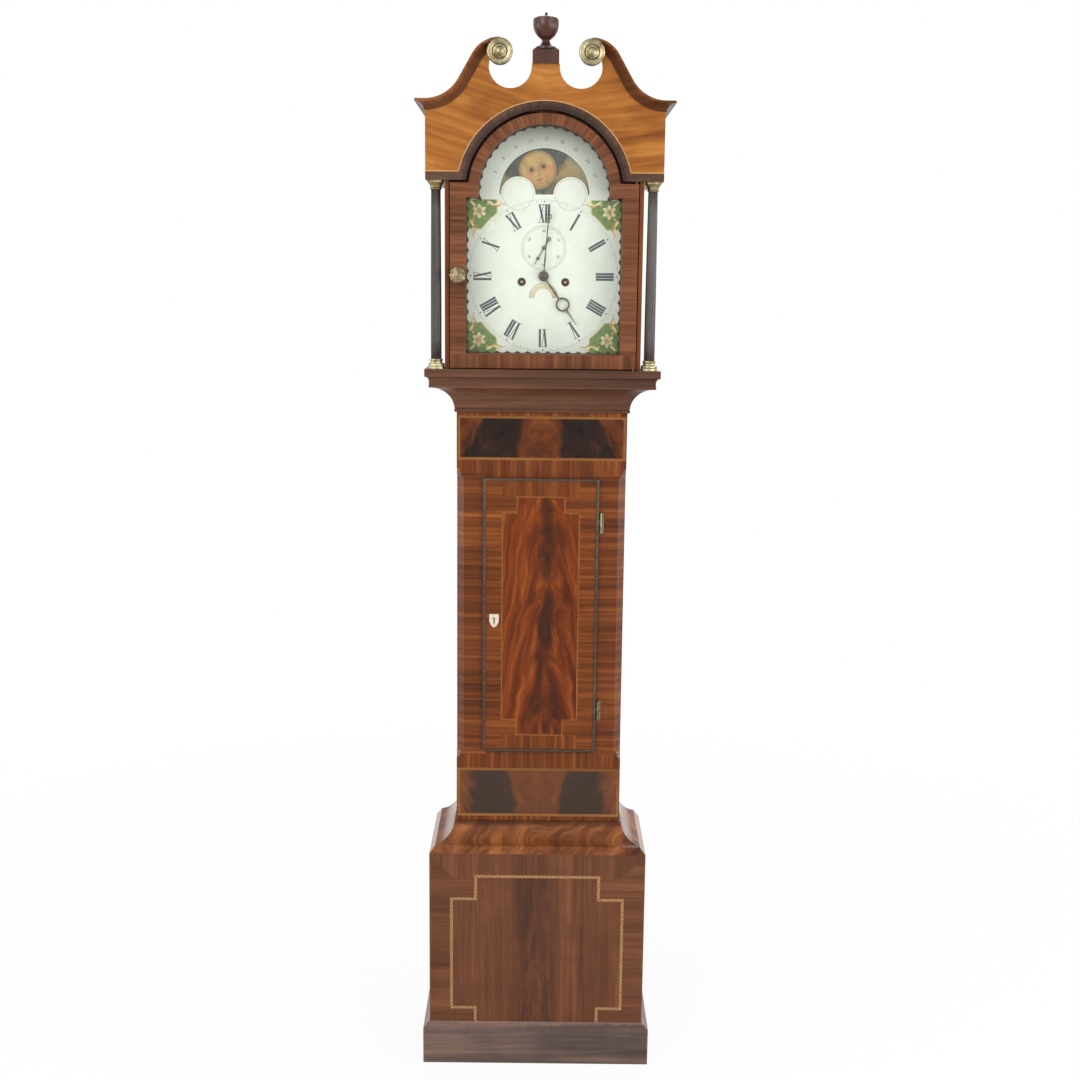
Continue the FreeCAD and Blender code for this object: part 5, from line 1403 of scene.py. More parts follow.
@dataclass
class Case:
    """Base, trunk and back of the case, with the inlay on their fronts."""

    shaper: Shaper
    base_face: float = -0.112
    base_half: float = 0.192
    base_top: float = 0.446
    base_notch: float = 0.054
    base_foot: float = 0.129
    plinth_top: float = 0.0955
    chequer_width: float = 0.0066
    chequer_proud: float = 0.00012
    trunk_face: float = -0.054
    frieze_half: float = 0.179
    frieze_width: float = 0.0058
    frieze_proud: float = 0.00015
    back_face: float = 0.131
    nail_columns: tuple[float, ...] = (-0.165, 0.0, 0.165)
    nail_span: tuple[float, float] = (0.06, 2.0)
    nail_rows: int = 14

    def build(self) -> None:
        """Dress the case and lay its inlay."""
        self.shaper.finishes.dress({
            "plinth_skirting": "plinth_wood", "base_panels": "base_panel_veneer", "base_floor": "pine_inside",
            "base_cove": "cove_flame", "trunk_stiles": "trunk_crossbanding", "trunk_rails": "trunk_crossbanding",
            "trunk_sides": "mahogany_upright", "backboard": "pine_boards", "trunk_cornice": "cornice_mahogany",
            "trunk_hinge_plates": "knob_brass", "seatboard": "pine_inside",
        })
        self.base_inlay()
        self.frieze_lines()
        self.back_nails()

    def base_inlay(self) -> None:
        """Lay the chequered band: up from the plinth, out at two square notches and across the top."""
        shoulder = self.base_top - self.base_notch
        path = notched(self.base_half - self.base_notch, self.base_half,
                       (self.plinth_top, self.base_foot, shoulder, self.base_top))
        self.shaper.band("base_chequer_inlay", path, self.chequer_width, self.base_face, self.chequer_proud,
                         Fit("chequer_inlay", "case", "base_veneer"), ring=False)

    def frieze_lines(self) -> None:
        """Lay light lines round the two flame panels of the trunk."""
        for name, (foot, head) in (("upper", UPPER_FRIEZE), ("lower", LOWER_FRIEZE)):
            self.shaper.band(f"{name}_frieze_line", oblong(self.frieze_half, foot, head), self.frieze_width,
                             self.trunk_face, self.frieze_proud, Fit("frieze_banding", "case", "flame_veneer"))

    def back_nails(self) -> None:
        """Set rows of flat nail heads along the edges and the middle of the backboard."""
        high = np.linspace(*self.nail_span, self.nail_rows)
        spots = np.array([(side, self.back_face, level) for side in self.nail_columns for level in high])
        head = np.array([(0.1, -0.9), (2.6, -0.7), (3.1, -0.2), (3.1, 0.5)]) * MM
        self.shaper.turned("backboard_nails", spots, Axis.FORWARD, head, 8, Fit("black_iron", "case", "iron"))


@dataclass
class TrunkDoor:
    """The long door of the trunk with its inlaid line, edge bead, hinges and keyhole shield."""

    shaper: Shaper
    face: float = -0.0622
    line_width: float = 0.0029
    line_proud: float = 0.00012
    half_width: float = 0.1258
    bottom: float = 0.722
    top: float = 1.339
    bead: float = 0.0062
    bead_rise: float = 0.45
    bead_steps: int = 9

    def build(self) -> None:
        """Dress the door, lay its line and run its bead."""
        self.shaper.finishes.dress({
            "trunk_door_board": "door_flame", "trunk_door_hinges": "knob_brass", "trunk_lock": "black_iron",
            "keyhole_escutcheon": "bone_white",
        })
        self.inlay_line()
        self.edge_bead()

    def inlay_line(self) -> None:
        """Lay the light line round the notched flame panel."""
        foot, head = DOOR_PANEL
        side, level = DOOR_NOTCH
        path = notched(DOOR_PANEL_HALF - side, DOOR_PANEL_HALF, (foot, foot + level, head - level, head))
        self.shaper.band("door_inlay_line", path, self.line_width, self.face, self.line_proud,
                         Fit("door_line", "trunk_door", "golden_veneer"))

    def edge_bead(self) -> None:
        """Run a half-round bead round the edge of the door: four straight sides mitred at the corners."""
        half = self.bead / 2
        path = oblong(self.half_width - half, self.bottom + half, self.top - half)
        angle = np.linspace(0, math.pi, self.bead_steps)
        offset = np.concatenate([[half], half * np.cos(angle), [-half]])
        edge = [-self.shaper.under]
        rise = np.concatenate([edge, self.bead * self.bead_rise * np.sin(angle), edge])
        self.shaper.sweep("door_edge_bead", path, offset, rise, self.face,
                          Fit("door_bead", "trunk_door", "dark_moulding"))


@dataclass
class Hood:
    """The sliding hood: frieze, swan necks, reeded columns, brass rosettes and the scalloped dial slip."""

    shaper: Shaper
    frieze_face: float = -0.105
    string_radius: float = 0.1815
    string_level: float = 1.979
    string_half: float = 0.245
    string_width: float = 0.0026
    string_proud: float = 0.00012
    string_steps: int = 72
    column_place: tuple[float, float, float] = (0.225, -0.085, 1.595)
    column_height: float = 0.348
    column_radii: tuple[float, float, float] = (0.0114, 0.0114, 0.0100)
    taper_start: float = 0.11
    reeds: int = 14
    reed_steps: int = 8
    reed_depth: float = 0.085
    scroll_place: tuple[float, float, float] = (0.093, -0.125, 2.212)
    mask_face: float = -0.061
    sight_half: float = 0.1615
    sight_foot: float = 1.608
    sight_head: float = 1.9275
    sight_radius: float = 0.136
    side_lobes: int = 15
    arch_lobes: int = 20
    lobe_steps: int = 14
    lobe_depth: float = 0.0042
    slip_width: float = 0.004
    slip_proud: float = 0.0012

    def build(self) -> None:
        """Dress the hood and add its finer pieces."""
        self.shaper.finishes.dress({
            "hood_base_rails": "hood_base_mahogany", "hood_sides": "mahogany_upright", "hood_mask": "mask_wood",
            "hood_frieze_board": "golden_veneer", "hood_top_boards": "mahogany_level",
            "arch_moulding": "arch_moulding_dark", "crown_mouldings": "swan_neck_moulding", "finial": "turned_finial",
            "hood_brass_mounts": "antique_brass", "column_shafts": "ebonised_column",
        })
        self.arch_string()
        self.columns()
        self.rosettes()
        self.scalloped_slip()

    @staticmethod
    def arch(radius: float, level: float, steps: int, closed: bool) -> Array:
        """Give points of the dial arch from right to left.

        Args:
            radius: the arch's radius.
            level: height at which it begins and ends.
            steps: how many points it has.
            closed: whether the last point lies at its end, or one step before.

        Returns:
            x and z of each point.
        """
        start = math.asin((level - ARCH_CENTRE) / radius)
        angle = np.linspace(start, math.pi - start, steps, endpoint=closed)
        return np.stack([radius * np.cos(angle), ARCH_CENTRE + radius * np.sin(angle)], 1)

    def arch_string(self) -> None:
        """Lay the pale line over the arch moulding and out along the ears."""
        arch = self.arch(self.string_radius, self.string_level, self.string_steps, True)
        ear = np.array([(self.string_half, self.string_level)])
        path = np.concatenate([ear, arch, ear * (-1, 1)])
        self.shaper.band("arch_inlay_line", path, self.string_width, self.frieze_face, self.string_proud,
                         Fit("boxwood_line", "hood", "golden_veneer"), ring=False)

    def columns(self) -> None:
        """Turn the two reeded columns: the radius tapers upwards and swells in fourteen rounded reeds."""
        high = np.linspace(0, self.column_height, 9)
        taper = np.interp(high, [0, self.taper_start, self.column_height], self.column_radii)
        shaft = np.stack([taper, high], 1)
        profile = np.concatenate([[(0.0005, 0.0)], shaft, [(0.0005, self.column_height)]])

        def reed(angle: Array, _: Array) -> Array:
            """Swell the radius by the sine's size, so that sharp valleys lie between round reeds."""
            return 1 - self.reed_depth + self.reed_depth * np.abs(np.sin(self.reeds * angle / 2))

        made = self.shaper.turned("reeded_columns", both_sides(*self.column_place), Axis.UPRIGHT, profile,
                                  self.reeds * self.reed_steps, Fit("ebonised_column", "hood", "dark_moulding"), reed)
        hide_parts("column_shafts")

    def rosettes(self) -> None:
        """Turn the ringed faces of the two scroll rosettes: a broad rim, one bead and a round boss."""
        rim = [(26.2, 0.1), (26.3, 2.6), (25.4, 3.9), (24.0, 4.8), (22.5, 5.2), (21.0, 5.1), (19.5, 4.7), (18.0, 4.2),
               (16.8, 3.8), (15.6, 3.5), (14.8, 3.3)]
        bead = [(14.0, 3.6), (13.0, 4.6), (11.8, 5.3), (10.6, 5.2), (9.6, 4.6), (8.8, 4.2)]
        boss = [(8.0, 4.6), (7.0, 5.7), (5.6, 6.6), (4.0, 7.1), (2.2, 7.3), (0.05, 7.4)]
        self.shaper.turned("scroll_rosette_faces", both_sides(*self.scroll_place), Axis.FORWARD,
                           np.array(rim + bead + boss) * MM, 48, Fit("rosette_brass", "hood", "brass"))

    def scalloped_slip(self) -> None:
        """Carve the slip round the dial: its inner edge rises to cusps by one less the size of a sine."""
        arch = self.arch(self.sight_radius, self.sight_head, self.arch_lobes * self.lobe_steps, False)
        corners = np.array([(-self.sight_half, self.sight_foot), (self.sight_half, self.sight_foot),
                            (self.sight_half, self.sight_head), tuple(arch[0])])
        mirrored = corners[::-1] * (-1, 1)

        def straight(first: Array, last: Array, lobes: int) -> Array:
            """Give points along a straight side, without its last."""
            share = np.linspace(0, 1, lobes * self.lobe_steps, endpoint=False)[:, None]
            return first + share * (last - first)

        right = [straight(*run) for run in zip(corners, corners[1:], (self.side_lobes, self.side_lobes, 1))]
        left = [straight(*run) for run in zip(mirrored, mirrored[1:], (1, self.side_lobes))]
        path = np.concatenate([*right, arch, *left])
        phase = np.arange(len(path)) / self.lobe_steps
        inward = self.lobe_depth * (1 - np.abs(np.sin(math.pi * phase)))
        sides = np.stack([np.full(len(path), -self.slip_width), inward], 1)
        self.shaper.band("scalloped_slip", path, sides, self.mask_face, self.slip_proud,
                         Fit("mask_wood", "hood", "mahogany"))


@dataclass
class HoodDoor:
    """The glazed arched door of the hood."""

    shaper: Shaper
    knob: tuple[float, float, float] = (-0.178, -0.099, 1.769)
    petals: int = 10
    petal_swell: float = 0.055
    petal_level: float = 0.0247
    petal_fade: float = 0.0025

    def build(self) -> None:
        """Dress the hood door."""
        self.shaper.finishes.dress({
            "hood_door_frame": "hood_door_crossbanding", "hood_door_glass": "window_glass",
            "hood_door_brasses": "knob_brass",
        })
        self.knob_flower()

    def knob_flower(self) -> None:
        """Turn the knob's face: ten petals swell the outer radius round a ringed heart."""
        rim = [(16.9, 20.6), (17.1, 21.4), (16.2, 22.6), (14.5, 23.8), (13.0, 24.6), (11.6, 24.8), (10.6, 24.5)]
        heart = [(9.8, 24.7), (9.0, 25.8), (7.6, 26.6), (6.0, 26.7), (5.0, 26.3), (4.0, 27.0), (2.5, 27.5),
                 (0.05, 27.6)]

        def swell(angle: Array, level: Array) -> Array:
            """Swell the radius once a petal, less and less towards the heart."""
            near = np.clip((self.petal_level - level) / self.petal_fade, 0, 1)
            return 1 + self.petal_swell * np.cos(self.petals * angle) * near

        self.shaper.turned("knob_flower", np.array([self.knob]), Axis.FORWARD, np.array(rim + heart) * MM, 60,
                           Fit("knob_brass", "hood_door", "brass"), swell)


class Stroke(Enum):
    """Strokes of the hour figures: foot place, head place and thickness in millimetres, and the advance."""

    I = (((2.85, 2.85, 4.7),), 5.7)
    V = (((6.6, 2.6, 4.4), (6.6, 11.2, 1.3)), 13.0)
    X = (((11.2, 2.8, 4.4), (2.8, 11.2, 1.3)), 14.0)


@dataclass
class Dial:
    """The painted dial: hour figures, rings, corner sprays, date and moon discs, and the hands."""

    shaper: Shaper
    centre: tuple[float, float] = (0.0, DIAL_CENTRE)
    seconds_centre: tuple[float, float] = (0.0, DIAL_CENTRE + 0.059)
    arch_centre: tuple[float, float] = (0.0, ARCH_CENTRE)
    date_centre: tuple[float, float] = (0.0, 1.722)
    figure_foot: float = 0.112
    figure_head: float = 0.149
    figure_proud: float = 0.00012
    serif: float = 0.0009
    minute_dots: float = 0.1555
    seconds_ticks: float = 0.0445
    seconds_numbers: float = 0.0355
    moon_marks: float = 0.1005
    moon_numbers: float = 0.1135
    moon_days: float = 29.5
    moon_span: float = 0.93 * math.pi
    date_numbers: float = 0.0255
    paint_depth: float = 0.0001
    dot: tuple[float, float] = (0.0008, 0.0008)
    lozenge: tuple[float, float] = (0.0021, 0.0014)
    tick: tuple[float, float] = (0.0011, 0.0004)
    moon_mark: tuple[float, float] = (0.0018, 0.0004)
    seconds_size: float = 0.0085
    moon_size: float = 0.010
    date_size: float = 0.0044
    hump_x: float = 0.0555
    flower: tuple[float, float] = (0.1375, 0.1345)
    flower_heart: float = 0.0036
    heart_proud: float = 0.0006
    petal: tuple[float, float] = (0.0075, 0.0042)
    petal_reach: float = 0.0078
    petal_proud: float = 0.00035
    leaf: tuple[float, float] = (0.0085, 0.0028)
    stem_proud: float = 0.00025
    winding_hole: tuple[float, float, float] = (0.0465, DIAL_FACE, 1.757)
    cap_place: tuple[float, float, float] = (0.0, -0.0449, DIAL_CENTRE)
    figures: Fit = Fit("numeral_paint", "case", "dial_paint")
    gilding: Fit = Fit("scroll_gilding", "case", "dial_paint")

    def build(self) -> None:
        """Dress the dial and paint it."""
        self.shaper.finishes.dress({
            "dial_sheet": "dial_paint_cream", "moon_disc": "moon_paint", "calendar_disc": "date_paint",
            "minute_hand": "hand_metal", "hour_hand": "hand_metal", "seconds_hand": "hand_metal",
        })
        self.hour_figures()
        self.minute_marks()
        self.rings()
        self.numbers()
        self.corner_sprays()
        self.corner_stems()
        self.collets()
        self.hand_cap()

    def hour_figures(self) -> None:
        """Paint the hour figures: each stroke is a slanted bar in the figure's frame, turned to its hour."""
        names = ("XII", "I", "II", "III", "IIII", "V", "VI", "VII", "VIII", "IX", "X", "XI")
        bars = []
        for hour, figure in enumerate(names):
            wide = sum(Stroke[letter].value[1] for letter in figure)
            at = -wide / 2
            for letter in figure:
                strokes, advance = Stroke[letter].value
                bars += [(hour, (at + foot) * MM, (at + head) * MM, thick * MM, self.figure_foot, self.figure_head)
                         for foot, head, thick in strokes]
                at += advance
            bars += [(hour, 0.0, 0.0, wide * MM, level, level + self.serif)
                     for level in (self.figure_foot - 0.0006, self.figure_head - 0.0003)]
        turn, foot, head, thick, low, high = np.array(bars).T
        angle = turn * math.pi / 6
        side = np.stack([foot - thick / 2, foot + thick / 2, head + thick / 2, head - thick / 2], 1)
        out = np.stack([low, low, high, high], 1)
        x = out * np.sin(angle)[:, None] + side * np.cos(angle)[:, None]
        z = DIAL_CENTRE + out * np.cos(angle)[:, None] - side * np.sin(angle)[:, None]
        self.shaper.plates("hour_figures", np.stack([x, z], -1), DIAL_FACE, self.figure_proud, self.figures)

    def minute_marks(self) -> None:
        """Paint sixty minute dots, a lozenge at each hour, and the ticks of the seconds dial."""
        minute = np.arange(60) * math.pi / 30
        spots = around(self.centre, self.minute_dots, minute)
        dots = ovals(spots, minute, *self.dot, 8)
        lozenges = ovals(spots[::5], minute[::5], *self.lozenge, 8)
        ticks = ovals(around(self.seconds_centre, self.seconds_ticks, minute), minute, *self.tick, 8)
        self.shaper.plates("minute_marks", np.concatenate([dots, lozenges, ticks]), DIAL_FACE, self.paint_depth,
                           self.figures)

    def rings(self) -> None:
        """Paint the fine rings of the minute circle, the seconds dial and the two humps of the moon opening."""
        listed = {
            "minute_ring": (self.centre, 0.1588, 0.0005, 180),
            "seconds_ring": (self.seconds_centre, 0.047, 0.0007, 96),
            "seconds_inner_ring": (self.seconds_centre, 0.0425, 0.0004, 96),
            "left_hump_ring": ((-self.hump_x, ARCH_CENTRE), 0.0325, 0.0006, 72),
            "right_hump_ring": ((self.hump_x, ARCH_CENTRE), 0.0325, 0.0006, 72),
        }
        for name, (middle, radius, width, steps) in listed.items():
            self.shaper.band(name, circle(middle, radius, steps), width, DIAL_FACE, self.paint_depth,
                             Fit("line_paint", "case", "dial_paint"))

    def moon_angle(self, day: Array) -> Array:
        """Give the angle from the top of the arch at which a day of the moon stands."""
        return (day / self.moon_days - 0.5) * self.moon_span

    def numbers(self) -> None:
        """Paint the small numbers: seconds by tens, days of the moon on the arch, and dates on their disc."""
        tens = np.arange(1, 7)
        angle = tens * math.pi / 3
        spots = around(self.seconds_centre, self.seconds_numbers, angle)
        self.shaper.lettering("seconds_numbers", [str(ten * 10) for ten in tens], spots, angle, self.seconds_size,
                              DIAL_FACE, self.figures)
        angle = self.moon_angle(np.arange(1, 30))
        marks = ovals(around(self.arch_centre, self.moon_marks, angle), angle, *self.moon_mark, 6)
        self.shaper.plates("moon_day_marks", marks, DIAL_FACE, self.paint_depth, self.figures)
        days = np.arange(3, 28, 3)
        angle = self.moon_angle(days)
        spots = around(self.arch_centre, self.moon_numbers, angle)
        self.shaper.lettering("moon_day_numbers", [str(day) for day in days], spots, angle, self.moon_size,
                              DIAL_FACE, self.figures)
        dates = np.arange(31)
        angle = dates * 2 * math.pi / 31
        spots = around(self.date_centre, self.date_numbers, angle)
        self.shaper.lettering("date_numbers", [str(date + 1) for date in dates], spots, angle, self.date_size,
                              DISC_FACE, Fit("numeral_paint", "calendar_disc", "date_paint"))

    @staticmethod
    def corners() -> Array:
        """Give the signs of x and z in the four corners of the dial."""
        return np.array([(side, level) for side in (-1, 1) for level in (-1, 1)], float)

    def corner_sprays(self) -> None:
        """Paint a flower of six petals and five leaves in each corner, mirrored about the dial."""
        sign = self.corners()
        turn = np.arange(6) * math.pi / 3
        petals = ovals(around(self.flower, self.petal_reach, turn), turn, *self.petal, 12)
        leaf_spots = np.array([(0.1535, 0.110), (0.1515, 0.094), (0.1135, 0.1515), (0.0975, 0.1510),
                               (0.151, 0.1505)])
        leaves = ovals(leaf_spots, np.array([0.5, -0.4, 1.1, 2.0, 0.8]), *self.leaf, 12)
        both = np.concatenate([petals, leaves])
        spread = (both[None] * sign[:, None, None, :]).reshape(-1, 12, 2) + self.centre
        self.shaper.plates("corner_petals", spread, DIAL_FACE, self.petal_proud,
                           Fit("petal_paint", "case", "dial_paint"))
        hearts = ovals(self.flower * sign + self.centre, np.zeros(4), self.flower_heart, self.flower_heart, 12)
        self.shaper.plates("corner_flower_hearts", hearts, DIAL_FACE, self.heart_proud, self.gilding)

    def corner_stems(self) -> None:
        """Paint two stems from each flower: a sine that dies away along a straight line, thinner to its tip."""
        share = np.linspace(0, 1, 28)
        wave = 0.0042 * np.sin(share * 3 * math.pi) * (1 - share * 0.4)
        stems = {
            "side": np.stack([0.1475 + wave, 0.122 - 0.045 * share], 1),
            "head": np.stack([0.122 - 0.042 * share, 0.1475 + wave * 0.9], 1),
        }
        width = 0.0022 * (1 - share) + 0.0005
        for number, sign in enumerate(self.corners()):
            for part, line in stems.items():
                self.shaper.band(f"corner_stem_{part}_{number}", line * sign + self.centre,
                                 np.stack([-width, width], 1), DIAL_FACE, self.stem_proud, self.gilding, ring=False)

    def collets(self) -> None:
        """Turn the brass rings of the two winding holes."""
        profile = np.array([(7.0, -0.8), (9.2, -0.8), (9.2, 0.3), (8.5, 0.8), (7.4, 0.7), (7.0, 0.2),
                            (7.0, -0.8)]) * MM
        self.shaper.turned("winding_collets", both_sides(*self.winding_hole), Axis.FORWARD, profile, 28,
                           Fit("dark_brass", "case", "brass"))

    def hand_cap(self) -> None:
        """Turn the small domed cap over the middle of the hands."""
        profile = np.array([(5.4, -0.2), (5.6, 0.5), (4.8, 1.1), (3.0, 1.6), (0.1, 1.8)]) * MM
        self.shaper.turned("hand_cap", np.array([self.cap_place]), Axis.FORWARD, profile, 28,
                           Fit("blued_cap", "centre_arbor", "hand_brass"))


@dataclass
class Movement:
    """Wheels, weights, lines, pendulum and bell."""

    shaper: Shaper
    line_radius: float = 0.0011
    line_depth: float = 0.036
    lay: float = 0.012
    strand_steps: int = 9
    down_steps: int = 260
    loop_steps: int = 48
    up_steps: int = 220
    wound_steps: int = 420
    pulley_height: float = 1.300
    loop: float = 0.0242
    barrel_x: float = 0.0465
    barrel_height: float = 1.757
    barrel_reach: float = 0.0249
    barrel_back: float = 0.0492
    barrel_front: float = 0.0384
    wound: float = 5.5
    seat_head: float = 1.687
    seat_foot: float = 1.665
    going_pulley_x: float = 0.0458
    strike_pulley_x: float = -0.0472
    knot_bulge: float = 0.07
    knot_twist: float = 1500.0

    def build(self) -> None:
        """Dress the movement and hang the lines."""
        dressed = {
            "movement_brass": ("movement_frame", "going_great_wheel", "centre_wheel", "third_wheel", "escape_wheel",
                               "minute_wheel", "hour_wheel", "strike_great_wheel", "pin_wheel", "gathering_wheel",
                               "warning_wheel", "fly", "bell", "going_barrel", "strike_barrel", "going_pulley",
                               "strike_pulley", "pendulum_bob", "back_cock"),
            "polished_steel": ("anchor", "hammer", "pendulum_rod"),
            "black_iron": ("going_weight", "strike_weight"),
        }
        for finish, nodes in dressed.items():
            self.shaper.finishes.dress(dict.fromkeys(nodes, finish))
        for name, side, middle in (("going", 1, self.going_pulley_x), ("strike", -1, self.strike_pulley_x)):
            self.gut_line(name, middle)
            self.barrel_turns(name, side * self.barrel_x)
            self.knot(name, middle + self.loop)

    def strands(self, name: str, path: Array, side: Array, body: Optional[str]) -> bpy.types.Object:
        """Lay three twisted strands of gut along a path that keeps square to the depth.

        Round each path point goes a circle, on its side and its depth, whose radius swells three times a turn and
        whose start turns with the length.

        Args:
            name: the piece's name.
            path: the middle of the line, one row a point.
            side: unit vectors to the side of the line.
            body: the body it moves with, or None.

        Returns:
            The line.
        """
        length = np.concatenate([[0.0], np.cumsum(np.linalg.norm(np.diff(path, axis=0), axis=1))])
        turn = np.linspace(0, 2 * math.pi, self.strand_steps, endpoint=False)
        radius = self.line_radius * (0.9 + 0.1 * np.cos(3 * turn + length[:, None] * 2 * math.pi / self.lay))
        across = (radius * np.cos(turn))[:, :, None] * side[:, None]
        points = path[:, None] + across + (radius * np.sin(turn))[:, :, None] * DEPTHWISE
        faces = self.shaper.grid_faces(len(path), self.strand_steps, False)
        return self.shaper.piece(name, points, faces, Fit("gut_line", body, "gut"), True)

    def gut_line(self, name: str, middle: float) -> None:
        """Run a gut line down from its barrel, half round the pulley and up to the seatboard.

        The path is a straight run, a half circle and a straight run.

        Args:
            name: going or strike.
            middle: x of the pulley's middle.
        """
        down = np.linspace(self.barrel_height, self.pulley_height, self.down_steps, endpoint=False)
        up = np.linspace(self.pulley_height, self.seat_head + 0.001, self.up_steps)
        angle = np.linspace(0, math.pi, self.loop_steps, endpoint=False)
        x = np.concatenate([np.full(self.down_steps, -self.loop), -self.loop * np.cos(angle),
                            np.full(self.up_steps, self.loop)]) + middle
        z = np.concatenate([down, self.pulley_height - self.loop * np.sin(angle), up])
        path = np.stack([x, np.full(len(x), self.line_depth), z], 1)
        ahead = np.gradient(path, axis=0)
        ahead = ahead / np.linalg.norm(ahead, axis=1, keepdims=True)
        made = self.strands(f"{name}_gut_line", path, np.cross(DEPTHWISE, ahead), None)
        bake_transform(made)
        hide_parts(f"{name}_line")

    def barrel_turns(self, name: str, middle: float) -> None:
        """Wind the line on its barrel: a screw line that ends level with the arbor, where the line leaves downwards.

        Args:
            name: going or strike.
            middle: x of the barrel's arbor.
        """
        turn = np.linspace(math.pi - 2 * math.pi * self.wound, math.pi, self.wound_steps)
        depth = np.linspace(self.barrel_back, self.barrel_front, self.wound_steps)
        level = np.zeros(self.wound_steps)
        out = np.stack([np.cos(turn), level, np.sin(turn)], 1)
        path = out * self.barrel_reach + np.stack([level + middle, depth, level + self.barrel_height], 1)
        self.strands(f"{name}_barrel_turns", path, out, f"{name}_barrel")

    def knot(self, name: str, place: float) -> None:
        """Tie the knot over the eye in the seatboard: two swollen turns whose bulge winds upwards.

        Args:
            name: going or strike.
            place: x of the eye.
        """
        profile = np.array([(0.05, 0.1), (2.3, 0.2), (2.9, 1.0), (2.8, 1.9), (2.4, 2.5), (2.9, 3.3), (2.6, 4.2),
                            (1.5, 4.9), (0.05, 5.1)]) * MM

        def bulge(angle: Array, height: Array) -> Array:
            """Swell the radius twice round, turning with the height."""
            return 1 + self.knot_bulge * np.cos(2 * angle + height * self.knot_twist)

        centre = np.array([(place, self.line_depth, self.seat_head)])
        self.shaper.turned(f"{name}_knot", centre, Axis.UPRIGHT, profile, 18, Fit("gut_line", "case", "gut"), bulge)


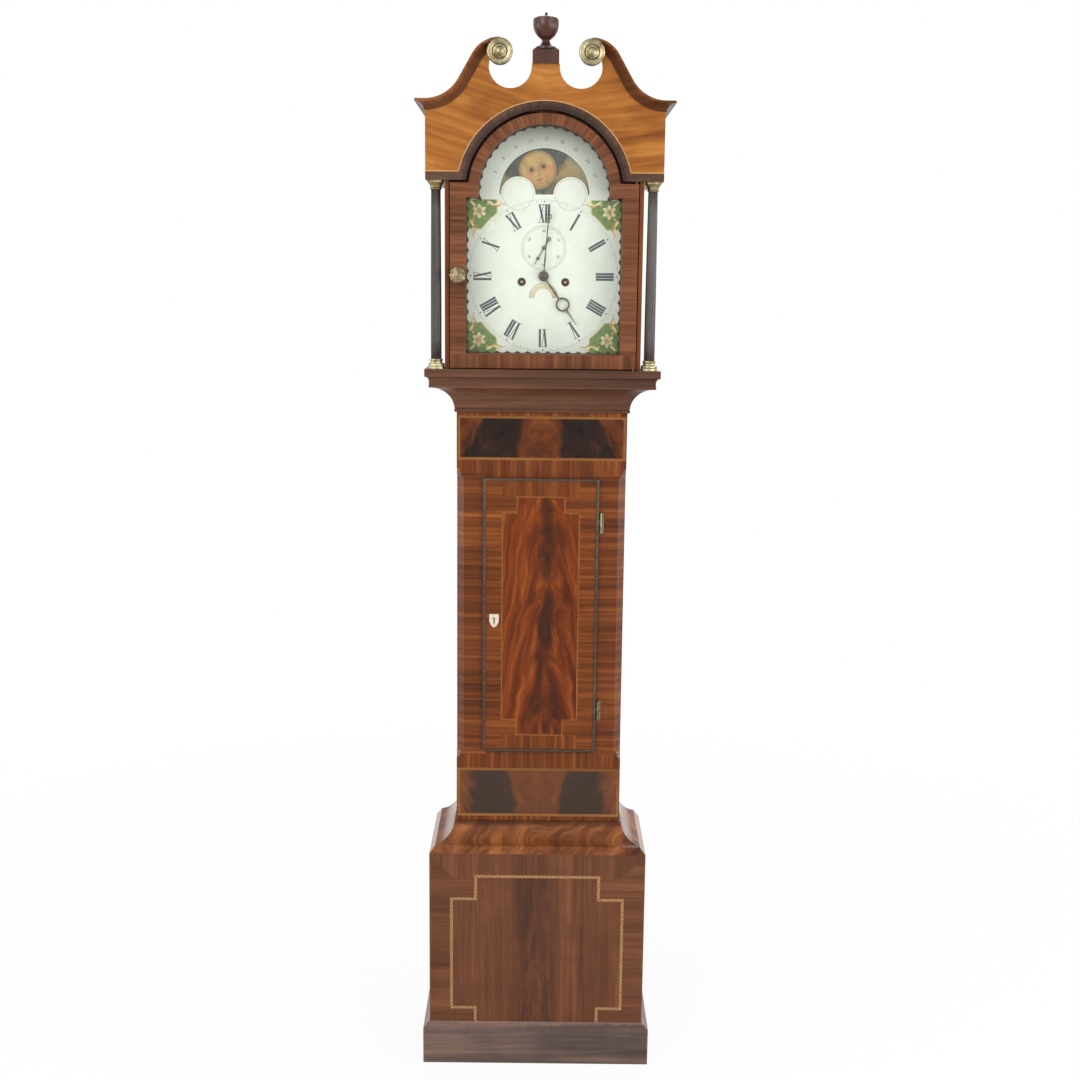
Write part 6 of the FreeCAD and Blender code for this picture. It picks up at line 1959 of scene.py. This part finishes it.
@dataclass
class Studio:
    """Pale floor, soft lamps, white surround and the camera."""

    eye: tuple[float, float, float] = (-0.00161, -3.0596, 1.73653)
    pitch: float = math.radians(10.0793)
    roll: float = math.radians(0.6063)
    lens: float = 46.543
    sensor: float = 36.0
    floor_half: float = 60.0
    white: Colour = (1.0, 1.0, 1.0, 1.0)

    def build(self) -> None:
        """Set the studio up."""
        self.camera()
        self.floor()
        self.surround()
        self.lamp("key_lamp", (-2.2, -3.6, 3.2), 1.25, 2.4, 84.0)
        self.lamp("fill_lamp", (2.6, -3.2, 2.0), 1.1, 2.6, 62.0)
        self.lamp("left_lamp", (-3.4, -0.9, 1.6), 1.2, 2.0, 36.0)
        self.lamp("right_lamp", (3.4, -0.9, 1.6), 1.2, 2.0, 44.0)
        self.lamp("back_lamp", (1.0, 3.2, 3.2), 1.2, 2.2, 50.0)
        bpy.context.scene.view_settings.view_transform = "Standard"

    def camera(self) -> None:
        """Stand the camera where the photograph was taken from, with its slight roll."""
        ahead = Vector((0.0, math.cos(self.pitch), -math.sin(self.pitch)))
        level = Vector((1.0, 0.0, 0.0))
        rise = level.cross(ahead)
        right = level * math.cos(self.roll) + rise * math.sin(self.roll)
        top = rise * math.cos(self.roll) - level * math.sin(self.roll)
        turn = Matrix((right, top, -ahead)).transposed().to_4x4()
        data = bpy.data.cameras.new("photo_camera")
        data.lens = self.lens
        data.sensor_width = self.sensor
        data.sensor_fit = "HORIZONTAL"
        made = bpy.data.objects.new("photo_camera", data)
        made.matrix_world = Matrix.Translation(self.eye) @ turn
        bpy.context.scene.collection.objects.link(made)
        bpy.context.scene.camera = made

    @staticmethod
    def seen(graph: Graph) -> Wire:
        """Tell rays of the camera, reflections and glass from light on the object.

        Args:
            graph: the nodes of the floor or the world.

        Returns:
            1 for the first and 0 for the second.
        """
        ray = graph.node("ShaderNodeLightPath").outputs
        straight = graph.most(Wire(graph, ray["Is Camera Ray"]), Wire(graph, ray["Is Glossy Ray"]))
        return graph.most(straight, Wire(graph, ray["Is Transmission Ray"]))

    def floor(self) -> None:
        """Lay the floor, white where seen, with the clock's soft shadow near its foot."""
        mesh = bpy.data.meshes.new("studio_floor")
        half = self.floor_half
        corners = [(-half, -half, 0), (half, -half, 0), (half, half, 0), (-half, half, 0)]
        mesh.from_pydata(corners, [], [(0, 1, 2, 3)])
        made = bpy.data.objects.new("studio_floor", mesh)
        bpy.context.scene.collection.objects.link(made)
        graph = Graph.new("floor_white")
        matt = graph.node("ShaderNodeBsdfDiffuse", None, {"Color": linear((240, 240, 240))})
        glow = graph.node("ShaderNodeEmission", None, {"Color": self.white, "Strength": 1.0})
        x, y, _ = graph.place()
        share = self.seen(graph) * (0.9 + graph.smooth(x * x + y * y, 0.6, 7.0) * 0.1)
        mixed = graph.node("ShaderNodeMixShader", None, {0: share, 1: Wire(graph, matt.outputs[0]),
                                                         2: Wire(graph, glow.outputs[0])})
        graph.node("ShaderNodeOutputMaterial", None, {"Surface": Wire(graph, mixed.outputs[0])})
        mesh.materials.append(graph.owner)

    def surround(self) -> None:
        """Make the world white where seen and a soft fill elsewhere."""
        world = bpy.data.worlds.new("studio_world")
        bpy.context.scene.world = world
        graph = Graph(world)
        seen = self.seen(graph)
        back = graph.node("ShaderNodeBackground", None, {"Color": self.white, "Strength": seen * 0.5 + 0.5})
        graph.node("ShaderNodeOutputWorld", None, {"Surface": Wire(graph, back.outputs[0])})

    @staticmethod
    def lamp(name: str, place: tuple[float, float, float], aim: float, size: float, power: float) -> None:
        """Hang a square lamp.

        Args:
            name: the lamp's name.
            place: where it hangs.
            aim: the height on the clock that it faces.
            size: its side in metres.
            power: its power in watts.
        """
        data = bpy.data.lights.new(name, "AREA")
        data.energy = power
        data.size = size
        made = bpy.data.objects.new(name, data)
        made.location = place
        made.rotation_euler = (Vector((0.0, 0.0, aim)) - Vector(place)).to_track_quat("-Z", "Y").to_euler()
        bpy.context.scene.collection.objects.link(made)


def main() -> None:
    """Build the studio and every part of the clock."""
    logging.basicConfig(level=logging.INFO, format="%(message)s")
    Studio().build()
    shaper = Shaper(Finishes())
    for part in (Case(shaper), TrunkDoor(shaper), Hood(shaper), HoodDoor(shaper), Dial(shaper), Movement(shaper)):
        part.build()
        LOG.info("finished %s", type(part).__name__)


if __name__ == "__main__":
    main()
